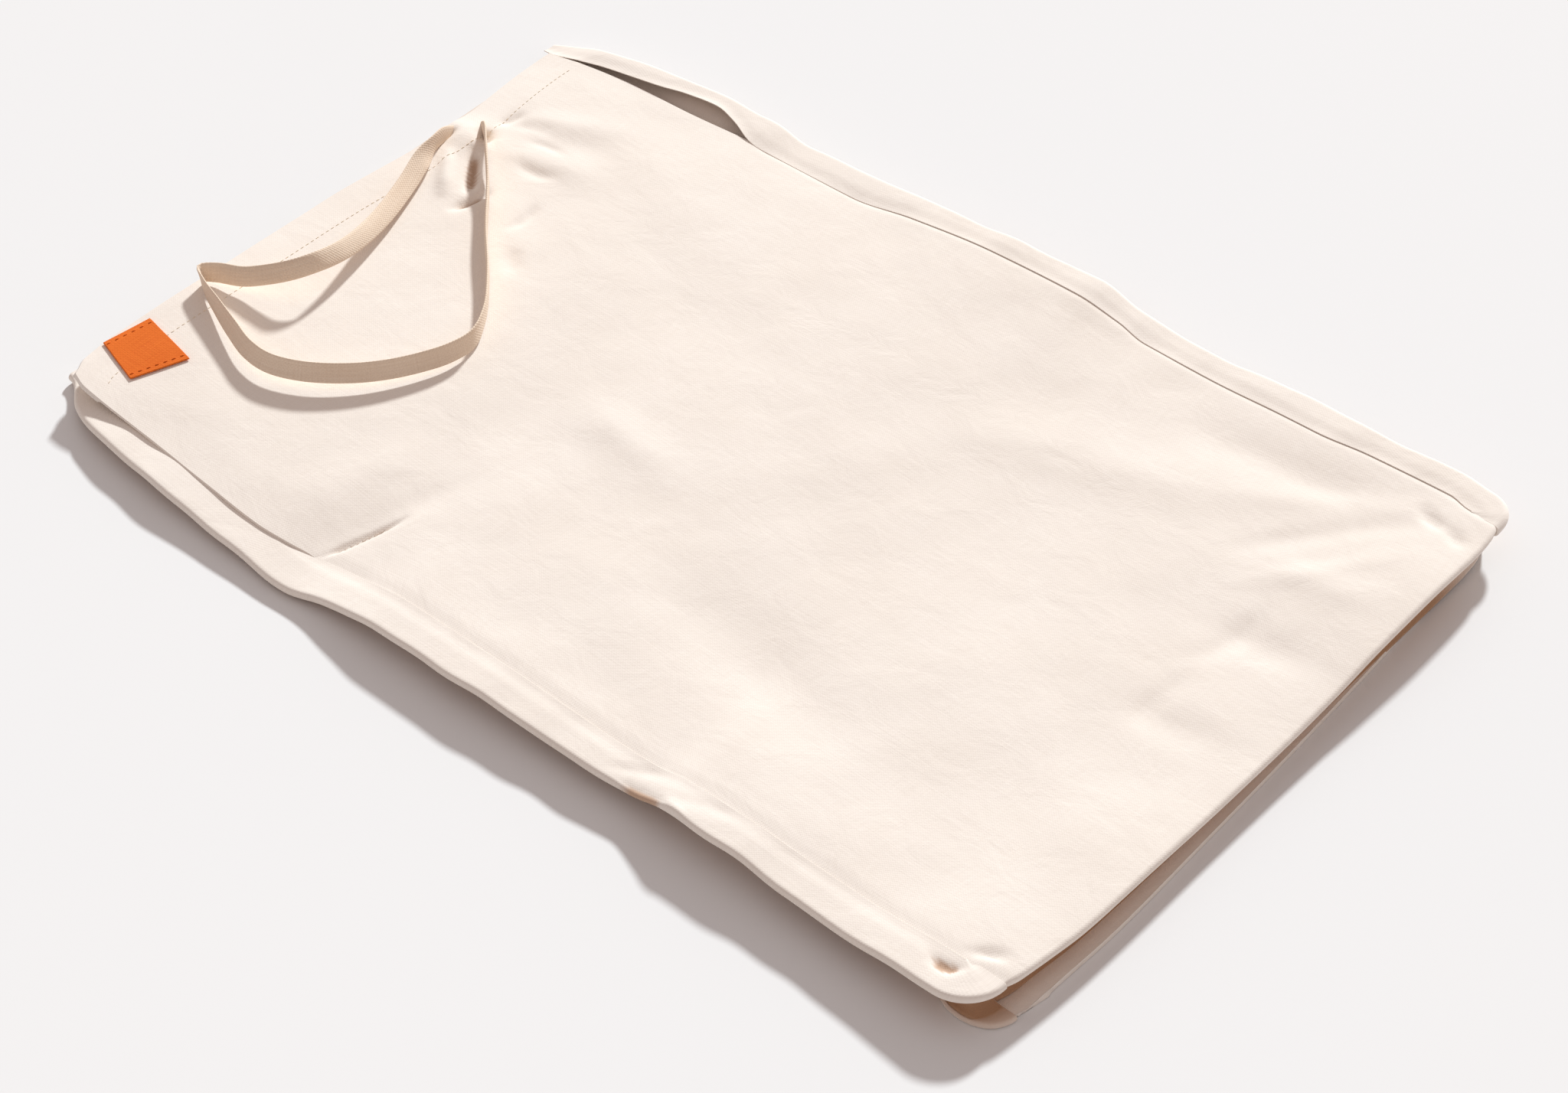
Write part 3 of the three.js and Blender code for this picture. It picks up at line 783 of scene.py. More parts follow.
# Heights of the near fold and of the far seam where they are sewn, and where the far flap ends
# there, by X. Both panels follow them.
NEAR_SEWN_TOP: Rows = (
    (-66, 7.6), (-40, 11.8), (10, 12), (66, 10.4), (80, 11), (96, 14), (122, 14.6), (150, 13.4),
    (175, 13), (213, 15.2),
)
FAR_SEWN_TOP: Rows = (
    (-69, 10.9), (-40, 13.8), (0, 16.9), (40, 17.8), (60, 15.6), (75, 14.2), (105, 13.9),
    (140, 15.4), (176, 16.1), (213, 17), (225, 17.3),
)
FAR_SEAM: Rows = (
    (-118, 139.4), (-69, 139.4), (-40, 142.4), (0, 144.4), (40, 144.8), (60, 144.2), (75, 142),
    (154, 142.4), (176, 144.6), (211, 145.4),
)
NEAR_SEAM_DROP = 0.15  # of the near flap's end, under the fold's top
NEAR_PANEL_DROP = 0.05  # of the front panel there, before it dips
FAR_LAP = 1.4  # how far the front panel goes on under the far flap

NEAR_SIDE = SideFold(
    side=Side.NEAR,
    mouth_x=-229.0,
    corner_x=214.8,
    line=Track(
        (
            (-229, 133), (-212, 143.5), (-197, 149), (-168, 153.6), (-115, 157.6), (-83, 158.6),
            (-66, 156.6), (-40, 155.6), (10, 155.2), (66, 154.2), (80, 153.8), (96, 153.4),
            (122, 153.8), (150, 154.4), (175, 155.6), (213, 156),
        )
    ),
    top=Track(
        (
            (-229, 4.5), (-212, 6.4), (-197, 8.6), (-168, 9), (-115, 6.8), (-83, 5.2),
            *NEAR_SEWN_TOP,
        )
    ),
    tuck=Track(((-229, 12), (-168, 20), (-83, 14), (-40, 31), (215, 31))),
    seam=Track(((-229, 122), (-212, 127), (-112, 131), (-97, 138.6), (-84, 139), (213, 139))),
    seam_top=Track(
        (
            (-229, 3.2), (-212, 5), (-190, 8), (-168, 8.6), (-112, 6.4), (-97, 5.6), (-83, 5.05),
            *shifted(NEAR_SEWN_TOP, -NEAR_SEAM_DROP),
        )
    ),
    lip=Track(
        (
            (160, -30), (196, -16), (208, -10), (215, -7), (220.7, -4.3), (226.2, -0.2), (230.6, 3.3),
            (234.8, 4.9),
        )
    ),
    lip_share=Track(((158, 0), (174, 0.6), (188, 1))),
    end_share=0.16,
    radius=1.2,
    corner_sink=0.3,
    creases=(
        Crease((207.5, -145.4), (217, -143.8), 2.3, -1.7, -1.4),
        Crease((76, -152.6), (97, -153.0), 2.8, -1.15),
        Crease((96, -150.5), (104, -154), 2.2, 0.8),
        Crease((70, -148), (84, -142), 2.6, -0.6),
        Crease((98, -147), (116, -142), 3.0, -0.5),
    ),
)
FAR_SIDE = SideFold(
    side=Side.FAR,
    mouth_x=-233.0,
    corner_x=221.4,
    line=Track(
        (
            (-233, 141.5), (-229, 144), (-212, 148.6), (-170, 155), (-128, 157.6), (-103, 155),
            (-79, 155.4), (-55, 156.4), (-20, 156.6), (10, 157.4), (40, 158.6), (62, 156.8),
            (105, 156), (140, 158), (166, 157.4), (190, 158.8), (208, 159.2), (225, 157.4),
        )
    ),
    top=Track(
        (
            (-233, 6), (-212, 9), (-170, 11.2), (-128, 11.5), (-103, 10.4), (-79, 11.3), (-55, 13.3),
            (20, 17.8), (40, 18.2), (62, 15.6), (85, 14.1), (105, 14.2), (140, 16.2), (166, 16.4),
            (190, 16.8), (225, 17.6),
        )
    ),
    tuck=Track(((-233, 12), (-170, 22), (-100, 31), (180, 31), (212, 12), (225, 9))),
    seam=Track(
        (
            (-233, 133.6), (-214, 136.6), (-205, 138.8), (-190, 141.2), (-176, 143.2), (-164, 145.8),
            (-148, 147.4), (-137, 145), (-124, 140.2), *FAR_SEAM, (220, 143), (225, 142.6),
        )
    ),
    seam_top=Track(
        (
            (-233, 6.4), (-214, 8.6), (-190, 10), (-164, 11.6), (-148, 12.2), (-137, 11.6),
            (-118, 10.1), *FAR_SEWN_TOP,
        )
    ),
    lip=Track(((188, -20), (245, -20))),
    lip_share=Track(((188, 0), (245, 0))),
    end_share=0.3,
    corner_sink=0.3,
    corner_draw=2.1,
)


@dataclass
class SidePart:
    """Grids of one side of the back panel, stations by points of the section."""

    points: Array
    share: Array  # of the cloth's thickness
    depth: Array  # share of painted shade, by how deep it is in a fold or a crease

    def mirrored(self) -> "SidePart":
        """Return the side with its section run the other way, from the floor to the flap's end."""
        return SidePart(*(grid[:, ::-1] for grid in (self.points, self.share, self.depth)))


@dataclass
class BackPanel:
    """The lower cloth, which comes round both long sides on to the upper face."""

    near: SideFold = NEAR_SIDE
    far: SideFold = FAR_SIDE
    thickness: float = 1.2
    side_stations: int = 190
    corner_stations: int = 18
    bottom: Track = Track(  # X by Y
        (
            (-140, 235.2), (-133, 236.8), (-126, 237.7), (-112, 238.2), (-90, 238.8), (-40, 237.3),
            (20, 235), (70, 232.5), (145, 227.4),
        )
    )
    seam_allowance: float = 9.0  # of the bottom edge, where the cloth lies double
    allowance_fade: float = 2.0
    double: float = 1.1  # what the allowance adds, in thicknesses
    double_from: Place = (-137.0, -122.0)  # Y where the allowance starts, and is whole
    shade_run: Place = (2.5, 7.0)  # in from the bottom edge, where the painted shade of the inner floor starts, and is whole
    inner_painted_shade: float = 0.2  # share of the painted shade for the cloth's face inside the bag
    floor_grid: Spans = ((0.12, 16), (1.0, 43))

    def stations(self, fold: SideFold) -> tuple[Array, Array]:
        """Return the stations of a side, evenly along it and then evenly round the corner.

        Args:
            fold: The side.

        Returns:
            The X and the turn of each.
        """
        along = np.linspace(fold.mouth_x, fold.corner_x, self.side_stations)
        turn = np.linspace(0.0, QUARTER_TURN, self.corner_stations + 1)[1:]
        x = np.concatenate([along, np.full(self.corner_stations, fold.corner_x)])
        return x, np.concatenate([np.zeros(self.side_stations), turn])

    def side_part(self, fold: SideFold) -> SidePart:
        """Return one side with its creases, carried along its stations from the mouth to the bottom.

        Args:
            fold: The side.

        Returns:
            Its grids, from the flap's end to the floor.
        """
        x, turn = self.stations(fold)
        out, z, share = fold.section(x, turn, self.thickness)
        px, py = fold.around(x[:, None], turn[:, None], out)
        creased, crease_shade = fold.creased(px, py)
        points = np.stack([px, py, z + creased], axis=-1)
        return SidePart(points, share, np.maximum(SIDE_PAINTED_SHADE, crease_shade))

    def surface(self) -> tuple[Array, Array, Array]:
        """Return the cloth's middle surface.

        A row runs from the near flap round the near fold, straight over the floor, and round
        the far fold to the far flap. The last rows fan out round both bottom corners, and the
        floor between them bows out to the bottom edge.

        Returns:
            Its points, their cloth coordinates with their shares of painted shade, and their shares of
            the thickness.
        """
        near, far = self.side_part(self.near), self.side_part(self.far).mirrored()
        turn = self.stations(self.near)[1][:, None]
        s = graded(self.floor_grid)[1:-1]
        floor = mix(near.points[:, -1:], far.points[:, :1], s[None, :, None])
        edge = self.bottom(floor[..., 1])
        floor[..., 0] += np.sin(turn) ** 2 * np.maximum(edge - floor[..., 0], 0.0)
        inward = edge - floor[..., 0]
        whole = self.seam_allowance
        double = self.double * smoothstep(inward, whole + self.allowance_fade, whole)
        double = double * smoothstep(floor[..., 1], *self.double_from)
        floor[..., 2] += double * self.thickness / 2.0
        points = np.concatenate([near.points, floor, far.points], axis=1)
        share = np.concatenate([near.share, 1.0 + double, far.share], axis=1)
        # Painted shade: the sides' share, and on the floor a brown that grows in from the bottom edge.
        shade = smoothstep(inward, *self.shade_run)
        depth = np.concatenate([near.depth, shade, far.depth], axis=1)
        steps = np.linalg.norm(np.diff(points, axis=1, prepend=points[:, :1]), axis=2)
        weave = np.stack([points[..., 0], np.cumsum(steps, axis=1), depth], axis=-1)
        return points, weave, share

    def build(self, material: bpy.types.Material) -> bpy.types.Object:
        """Make the panel as a thin closed sheet on both sides of its middle surface.

        Args:
            material: The cloth's material.

        Returns:
            The panel.
        """
        points, weave, share = self.surface()
        half = normals_of(points) * share[..., None] * self.thickness / 2.0
        draft = sheet_draft(points - half, points + half, weave, self.inner_painted_shade)
        piece = draft.to_object("back_panel_cloth", material)
        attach(piece, BODY)
        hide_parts("back_panel")
        return piece


@dataclass
class FrontPanel:
    """The upper cloth, with the casing hem along its mouth."""

    back: BackPanel
    thickness: float = 1.2
    casing_depth: float = 15.0
    casing_step: float = 1.5  # over which the casing's double cloth ends
    turn_radius: float = 1.8  # where it turns down to the bottom seam
    hollow: float = 5.9  # how far it goes in under the turned edge
    near_dip: Place = (0.42, 6.0)  # depth of the dip under the near flap, and where it starts inside
    far_dip: Place = (0.6, 2.6)
    dip_whole: float = -1.6  # past the flap's end, where the dip is at its full depth
    near_vent_x: float = -88.0
    far_vent_x: float = -122.0
    vent_run: float = 9.0  # length over which a vent closes
    loose_share: float = 0.4  # of the creases, left at the loose edge of the near vent
    near_line: Track = Track(
        (
            (-222, -136), (-211, -138.6), (-180, -139.8), (-140, -142.4), (-112, -143.8), (-98, -142.6),
            (-86, -140.8), (240, -140.6),
        )
    )
    near_top: Track = Track(
        (
            (-222, 14.2), (-211, 13), (-184, 10.6), (-160, 9.7), (-112, 7.6), (-98, 6.6), (-84, 5.2),
            *shifted(NEAR_SEWN_TOP, -NEAR_PANEL_DROP),
        )
    )
    far_line: Track = Track(
        (
            (-230, 133), (-212, 136), (-185, 139), (-160, 139.6), *shifted(FAR_SEAM, FAR_LAP),
            (220, 144.8), (240, 144.6),
        )
    )
    far_top: Track = Track(((-230, 7.5), (-212, 8), (-160, 8.4), (-118, 10), *FAR_SEWN_TOP))
    middle_top: Track = Track(
        ((-226, 11.4), (-185, 11.2), (-90, 11), (-50, 12.2), (20, 13.2), (120, 13), (237, 13.4))
    )
    edges_read_at: Place = (-225.0, 235.0)  # X where the long edges bound the mouth and the bottom
    mouth: Track = Track(
        ((-138, -218), (-128, -222.5), (-112, -224.5), (0, -225), (62, -222.5), (134, -229))
    )
    bottom: Track = Track(
        (
            (-141, 231.8), (-131, 233.8), (-116, 235.6), (-104, 236.7), (-90, 237.2), (-60, 237.4),
            (10, 237.2), (66, 236.6), (100, 236.4), (122, 236.1), (134, 235.3), (141, 233.6),
            (146, 231.8),
        )
    )
    bottom_top: Track = Track(
        (
            (-141, 15.2), (-116, 14.9), (-90, 14.8), (-60, 14.6), (-18, 13), (10, 13.6), (40, 14.9),
            (66, 17.2), (100, 18.3), (146, 17.4),
        )
    )
    creases: tuple[Crease, ...] = (
        # Crease at the foot of the near vent, and the cloth standing up beside it.
        Crease((-85, -143), (-73, -108), 1.1, -2.0, kind=CreaseKind.SHARP),
        Crease((-82, -130), (-70, -82), 7.0, -1.0),
        Crease((-104, -126), (-96, -80), 9.0, 0.7),
        # Cloth bunched where the tape comes out, and the gathers that spread from there. Their deepest
        # troughs take the creases' painted shade.
        Crease((-224, 62), (-206, 70), 11.0, 2.6),
        Crease((-218, 54), (-219, 66), 1.6, -4.2, kind=CreaseKind.SHARP),
        Crease((-210, 75), (-204, 70), 2.4, -3.6, kind=CreaseKind.SHARP),
        Crease((-210, 54), (-194, 35), 3.0, 2.4),
        Crease((-204, 63), (-188, 44), 2.6, -4.2),
        Crease((-184, 31), (-181, 46), 2.0, -3.0, kind=CreaseKind.SHARP),
        Crease((-208.5, 82.7), (-206, 93), 2.4, -1.8, kind=CreaseKind.SHARP),
        Crease((-202.5, 86), (-188, 92), 3.4, -0.9, 1.0),
        Crease((-184, 68), (-168, 70), 3.0, -0.9, -1.2),
        Crease((-159.5, 52), (-158, 37), 2.2, -1.0, 0.8),
        Crease((-190, 82), (-176, 84), 2.2, -0.6, 0.8),
        Crease((-148, 26), (-139, 17), 3.4, -1.0),
        Crease((-204, 88), (-172, 108), 7.0, 1.0),
        Crease((-192, 72), (-158, 80), 7.0, 1.0),
        Crease((-186, 90), (-160, 96), 6.0, -0.5),
        Crease((-58, -22), (-18, -30), 10.0, 1.3),
        # Broad drape of the panel.
        Crease((60, 62), (150, 96), 14.0, 1.2),
        Crease((20, -70), (120, -92), 16.0, -1.3),
        Crease((120, 116), (196, 124), 9.0, -1.1),
        # Puckers along the bottom seam, and wrinkles that run to the far corner.
        Crease((192, -14), (193, 12), 4.0, -0.7, 1.5),
        Crease((190, 22), (194, 56), 4.5, -0.8, -2.0),
        Crease((168, 74), (210, 124), 5.0, -0.8, 2.0),
        Crease((150, 96), (204, 130), 6.0, 0.6),
        Crease((178, 60), (216, 108), 5.0, 0.6, -2.0),
        Crease((182, -14), (220, -8), 8.0, -1.0),
        Crease((184, 38), (220, 42), 8.0, -1.0),
        Crease((186, 74), (220, 80), 8.0, 1.0),
        # Dimples of the turned corners.
        Crease((214.5, -137.6), (224.5, -130), 1.8, -1.7, 0.8),
        Crease((219, -141), (226, -137), 3.4, 0.9),
        Crease((208, 133), (219, 129), 2.0, -1.8, -0.8),
        Crease((222, 129), (229, 125), 1.9, -1.6),
    )
    lie: Unevenness = Unevenness(seed=5, shortest=22.0, longest=130.0, height=0.42)
    lead: Place = (-60.0, -2.0)  # from the bottom edge, where the top is led over to its height
    crease_rim: Place = (0.004, 0.035)  # shares of the width where creases start, and are whole
    lie_rim: Place = (0.0, 0.06)  # and where the small waves do
    crease_shade_span: Place = (1.7, 3.4)  # depth of a crease where its painted shade starts, and is whole
    edge_shade: Place = (0.15, 0.9)  # painted shade round the turned edge, from where it goes into shade
    far_shade_cut: float = 0.75  # share of the painted shade taken off towards the far side, over the next Y span
    far_shade_cut_run: Place = (104.0, 136.0)
    across_grid: Spans = ((0.03, 8), (0.7, 83), (0.82, 29), (0.97, 17), (1.0, 8))
    along_grid: Spans = ((0.09, 35), (0.2, 33), (0.295, 19), (0.34, 35), (1.0, 135))
    bend_lit: int = 8  # points of the turned edge before it goes into shade and its painted shade starts
    bend_shaded: int = 6
    wall_turn: float = 0.85 * math.pi  # how far round its half ellipse the wall goes
    wall_points: int = 11
    foot_gap: float = 0.2  # over the doubled edge of the lower cloth

    def base(self, x: Array, y: Array) -> Array:
        """Return the panel's plain height: a straight blend of its long edges with a crown between.

        The crown is 1 less the fourth power of the distance from the middle line.

        Args:
            x: Places along the bag.
            y: Places across it.

        Returns:
            The heights.
        """
        near, far = self.near_line(x), self.far_line(x)
        s = np.clip((y - near) / (far - near), 0.0, 1.0)
        near_z, far_z = self.near_top(x), self.far_top(x)
        crown = self.middle_top(x) - (near_z + far_z) / 2.0
        return mix(near_z, far_z, s) + crown * (1.0 - (2.0 * s - 1.0) ** 4)

    def folds(self, x: Array, y: Array) -> Array:
        """Return the height that all creases add."""
        return sum((crease.at(x, y) for crease in self.creases), np.zeros_like(x))

    def height(self, x: Array, y: Array) -> Array:
        """Return the height of the panel's upper face, before it dips under the flaps.

        The plain height is led over to the bottom edge's own height, and the creases and the
        small lying waves are added, less of them at the sewn edges.

        Args:
            x: Places along the bag.
            y: Places across it.

        Returns:
            The heights.
        """
        near, far = self.near_line(x), self.far_line(x)
        s = np.clip((y - near) / (far - near), 0.0, 1.0)
        edge_x = self.bottom(y)
        to_bottom = (self.bottom_top(y) - self.base(edge_x, y)) * smoothstep(x - edge_x, *self.lead)
        sewn = smoothstep(x, self.near_vent_x, self.near_vent_x + self.vent_run)
        free = self.loose_share * (1.0 - sewn)
        inner = smoothstep(s, *self.crease_rim) * smoothstep(1.0 - s, *self.crease_rim)
        inside = mix(free, 1.0, inner)
        lying = self.lie.at(x, y) * smoothstep(s, *self.lie_rim) * smoothstep(1.0 - s, *self.lie_rim)
        return self.base(x, y) + to_bottom + self.folds(x, y) * inside + lying

    def dip(self, x: Array, y: Array) -> Array:
        """Return how far the panel dips under the flaps: an S-shaped cubic across each sewn edge.

        Args:
            x: Places along the bag.
            y: Places across it.

        Returns:
            The dips.
        """
        total = np.zeros_like(x)
        sides = (
            (self.back.near, self.near_dip, self.near_vent_x),
            (self.back.far, self.far_dip, self.far_vent_x),
        )
        for fold, (depth, width), vent_x in sides:
            inside = fold.seam(x) - fold.side.value * y
            sewn = smoothstep(x, vent_x, vent_x + self.vent_run)
            total += depth * sewn * smoothstep(inside, width, self.dip_whole)
        return total

    def surface(self) -> tuple[Array, Array, Array]:
        """Return the panel's upper face.

        The rows run from the mouth to the bottom, round the turned edge on an arc that leaves
        the bottom line square in plan, and down a wall that is hollow as half an ellipse is.

        Returns:
            Its points, their cloth coordinates with their shares of painted shade, and how much of the
            hem lies under each.
        """
        s, u = graded(self.across_grid), graded(self.along_grid)
        r = self.turn_radius
        ends = [np.full_like(s, x) for x in self.edges_read_at]
        mouth_y, bottom_y = (mix(self.near_line(x), self.far_line(x), s) for x in ends)
        mouth_x, bottom_x = self.mouth(mouth_y)[None, :], self.bottom(bottom_y)
        slant = np.gradient(bottom_x, bottom_y)
        ahead = unit(np.stack([np.ones_like(slant), -slant, np.zeros_like(slant)], axis=-1))
        x = mix(mouth_x, (bottom_x - r * ahead[:, 0])[None, :], u[:, None])
        y = mix(self.near_line(x), self.far_line(x), s[None, :])
        top = np.stack([x, y, self.height(x, y)], axis=-1)
        hem_end = -self.casing_depth
        hem = smoothstep(-(x - mouth_x), hem_end - self.casing_step, hem_end)
        edge = top[-1][None]
        turn = np.linspace(0.0, math.pi, self.bend_lit + self.bend_shaded + 1)[1:, None, None]
        bend = edge + r * (np.sin(turn) * ahead + (np.cos(turn) - 1.0) * UP)
        foot = (1.0 + self.back.double) * self.back.thickness + self.foot_gap
        inward = np.linspace(0.0, self.wall_turn, self.wall_points + 1)[1:, None, None]
        wall = edge - self.hollow * np.sin(inward) * ahead
        down = (1.0 - np.cos(inward)) / (1.0 - math.cos(self.wall_turn))
        wall = wall * (1.0 - UP) + mix(edge[..., 2:] - 2.0 * r, foot, down) * UP
        points = np.concatenate([top, bend, wall])
        past = np.ones((len(bend) + len(wall), 1))
        dip = np.concatenate([self.dip(x, y), past * self.dip(x[-1:], y[-1:])])
        points = points - normals_of(points) * dip[..., None]
        hem = np.concatenate([hem, np.zeros((len(past), len(s)))])
        steps = np.linalg.norm(np.diff(points, axis=0, prepend=points[:1]), axis=2)
        along = np.cumsum(steps, axis=0)
        # Painted shade: brown round the turned edge and down the wall, and in the deep creases, less of
        # it towards the far side.
        into_shade = np.linspace(*self.edge_shade, self.bend_shaded)
        turned = np.concatenate([np.zeros(self.bend_lit), into_shade, np.ones(self.wall_points)])
        crease_shade = PAINTED_CREASE_SHADE * smoothstep(-self.folds(x, y), *self.crease_shade_span)
        depth = np.concatenate([crease_shade, turned[:, None] * np.ones_like(s)])
        depth = depth * (1.0 - self.far_shade_cut * smoothstep(points[..., 1], *self.far_shade_cut_run))
        weave = np.stack([along, points[..., 1], depth], axis=-1)
        return points, weave, hem

    def build(self, material: bpy.types.Material) -> bpy.types.Object:
        """Make the panel as a thin closed sheet, twice as thick in its casing.

        Args:
            material: The cloth's material.

        Returns:
            The panel.
        """
        points, weave, hem = self.surface()
        thick = self.thickness * (1.0 + hem)[..., None]
        under = points - normals_of(points) * thick
        piece = sheet_draft(points, under, weave).to_object("front_panel_cloth", material)
        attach(piece, BODY)
        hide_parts("front_panel")
        return piece


def smooth_line(points: Array, per_span: int) -> Array:
    """Return a smooth curve through the points.

    Each span is a cubic, with end slopes worked out from the square roots of the spans' lengths.

    Args:
        points: The points, with the curve's two ends among them.
        per_span: Number of points to each span.

    Returns:
        The curve's points.
    """
    ends = (2.0 * points[:1] - points[1:2], points, 2.0 * points[-1:] - points[-2:-1])
    padded = np.concatenate(ends)
    p0, p1, p2, p3 = padded[:-3], padded[1:-2], padded[2:-1], padded[3:]
    d0, d1, d2 = (
        np.sqrt(np.linalg.norm(b - a, axis=1, keepdims=True)) for a, b in ((p0, p1), (p1, p2), (p2, p3))
    )
    leave = d1 * ((p1 - p0) / d0 - (p2 - p0) / (d0 + d1) + (p2 - p1) / d1)
    arrive = d1 * ((p2 - p1) / d1 - (p3 - p1) / (d1 + d2) + (p3 - p2) / d2)
    t = np.linspace(0.0, 1.0, per_span, endpoint=False)[None, :, None]
    p1, p2, leave, arrive = (a[:, None, :] for a in (p1, p2, leave, arrive))
    line = (
        (2 * t**3 - 3 * t**2 + 1) * p1
        + (t**3 - 2 * t**2 + t) * leave
        + (-2 * t**3 + 3 * t**2) * p2
        + (t**3 - t**2) * arrive
    )
    return np.concatenate([line.reshape(-1, 3), points[-1:]])


def evenly(line: Array, count: int) -> Array:
    """Return points at even distances along a line.

    Args:
        line: The line's own points.
        count: How many to return, with both ends among them.

    Returns:
        The points.
    """
    steps = np.linalg.norm(np.diff(line, axis=0), axis=1)
    along = np.concatenate([[0.0], np.cumsum(steps)])
    at = np.linspace(0.0, along[-1], count)
    return np.stack([np.interp(at, along, line[:, k]) for k in range(3)], axis=1)


# The tape's middle line in metres, from the slit further in to the one at the mouth edge.
TAPE_ROUTE = (
    (-0.2135, 0.0770, 0.0070), (-0.2050, 0.0705, 0.0146), (-0.1935, 0.0595, 0.0172),
    (-0.1790, 0.0455, 0.0160), (-0.1590, 0.0240, 0.0158), (-0.1390, 0.0045, 0.0160),
    (-0.1245, -0.0125, 0.0160), (-0.1180, -0.0255, 0.0160), (-0.1185, -0.0365, 0.0162),
    (-0.1225, -0.0475, 0.0164), (-0.1295, -0.0600, 0.0166), (-0.1385, -0.0710, 0.0169),
    (-0.1520, -0.0820, 0.0174), (-0.1650, -0.0875, 0.0178), (-0.1765, -0.0872, 0.0180),
    (-0.1895, -0.0830, 0.0180), (-0.2040, -0.0776, 0.0180), (-0.2160, -0.0728, 0.0180),
    (-0.2226, -0.0684, 0.0180), (-0.2186, -0.0640, 0.0178), (-0.2085, -0.0593, 0.0184),
    (-0.1995, -0.0543, 0.0212), (-0.1916, -0.0484, 0.0242), (-0.1876, -0.0405, 0.0250),
    (-0.1872, -0.0310, 0.0232), (-0.1894, -0.0180, 0.0202), (-0.1955, 0.0020, 0.0168),
    (-0.2048, 0.0260, 0.0152), (-0.2114, 0.0420, 0.0158), (-0.2165, 0.0560, 0.0144),
    (-0.2205, 0.0675, 0.0070),
)


@dataclass
class DrawTape:
    """The flat drawstring tape, on edge in one loose loop and turned flat before its second slit."""

    width: float = 8.0
    thickness: float = 1.1
    cup: float = 0.3  # how far its middle stands out from its two edges
    rings: int = 320
    sides: int = 24
    per_span: int = 24  # points between two of its route
    square_high: float = 0.7  # powers of sine and cosine in the section, below 1 for a square one
    square_side: float = 0.6
    lean: Track = Track(  # degrees back from upright, by share of the length
        (
            (0, 0), (0.28, 0), (0.36, -24), (0.54, -28), (0.62, 0), (0.67, 36),
            (0.76, 34), (0.88, 64), (0.92, 60), (0.96, 0), (1, 0),
        )
    )

    def line(self) -> Array:
        """Return the points down the tape's middle, in the bag's own frame."""
        return evenly(smooth_line(np.array(TAPE_ROUTE) / MM, self.per_span), self.rings)

    def build(self, material: bpy.types.Material) -> bpy.types.Object:
        """Make the tape: a flat section with round edges, carried upright along its line and leant.

        The section is an ellipse whose sine and cosine are raised to powers below 1, bowed to
        one side by a parabola.

        Args:
            material: The tape's material.

        Returns:
            The tape.
        """
        line = self.line()
        ahead = unit(np.gradient(line, axis=0))
        level = unit(np.cross(ahead, UP))
        lean = np.radians(self.lean(np.linspace(0.0, 1.0, self.rings)))[:, None]
        out = np.cos(lean) * level + np.sin(lean) * np.cross(level, ahead)
        up = np.cross(out, ahead)
        angle = np.linspace(0.0, 2.0 * math.pi, self.sides, endpoint=False)
        sine, cosine = np.sin(angle), np.cos(angle)
        high = self.width / 2.0 * np.sign(sine) * np.abs(sine) ** self.square_high
        side = self.thickness / 2.0 * np.sign(cosine) * np.abs(cosine) ** self.square_side
        side = side + self.cup * (1.0 - (2.0 * high / self.width) ** 2)
        section = high[None, :, None] * up[:, None] + side[None, :, None] * out[:, None]
        points = line[:, None] + section
        along = np.linspace(0.0, self.length(), self.rings)[:, None] * np.ones_like(angle)
        weave = np.stack([along, high * np.ones_like(along), np.zeros_like(along)], axis=-1)
        index = np.arange(points[..., 0].size).reshape(self.rings, -1)
        caps = [index[0][::-1], index[-1]]
        draft = MeshDraft(points.reshape(-1, 3), tube_quads(index), weave.reshape(-1, 3), caps)
        piece = draft.to_object("drawstring", material)
        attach(piece, BODY)
        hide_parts("drawstring_tape")
        self.length() * MM
        return piece

    def length(self) -> float:
        """Return the tape's length outside the casing and a little way in, in mm."""
        return float(np.linalg.norm(np.diff(self.line(), axis=0), axis=1).sum())


@dataclass
class SewnLabel:
    """A small bare label on the front panel, at the mouth."""

    front: FrontPanel
    corners: tuple[Place, ...] = ((-223.4, -118), (-220.8, -97), (-193.5, -102), (-201.5, -124.2))
    thickness: float = 0.7
    clearance: float = 0.35
    cells: int = 30

    def place(self, u: Array, v: Array) -> tuple[Array, Array]:
        """Return where places on the label lie: a straight blend of its four corners.

        Args:
            u: Share of the way in from the mouth edge.
            v: Share of the way along that edge.

        Returns:
            X and Y of each.
        """
        a, b, c, d = (np.array(p, float) for p in self.corners)
        at = mix(mix(a, b, v[..., None]), mix(d, c, v[..., None]), u[..., None])
        return at[..., 0], at[..., 1]

    def build(self, material: bpy.types.Material) -> bpy.types.Object:
        """Make the label as a thin sheet that follows the panel under it.

        Args:
            material: The label's material.

        Returns:
            The label.
        """
        share = np.linspace(0.0, 1.0, self.cells)
        v, u = np.meshgrid(share, share)
        x, y = self.place(u, v)
        under = np.stack([x, y, self.front.height(x, y) + self.clearance], axis=-1)
        upper = under + self.thickness * UP
        weave = np.stack([x, y, np.zeros_like(x)], axis=-1)
        piece = sheet_draft(upper, under, weave).to_object("label_cloth", material)
        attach(piece, BODY)
        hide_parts("label")
        return piece


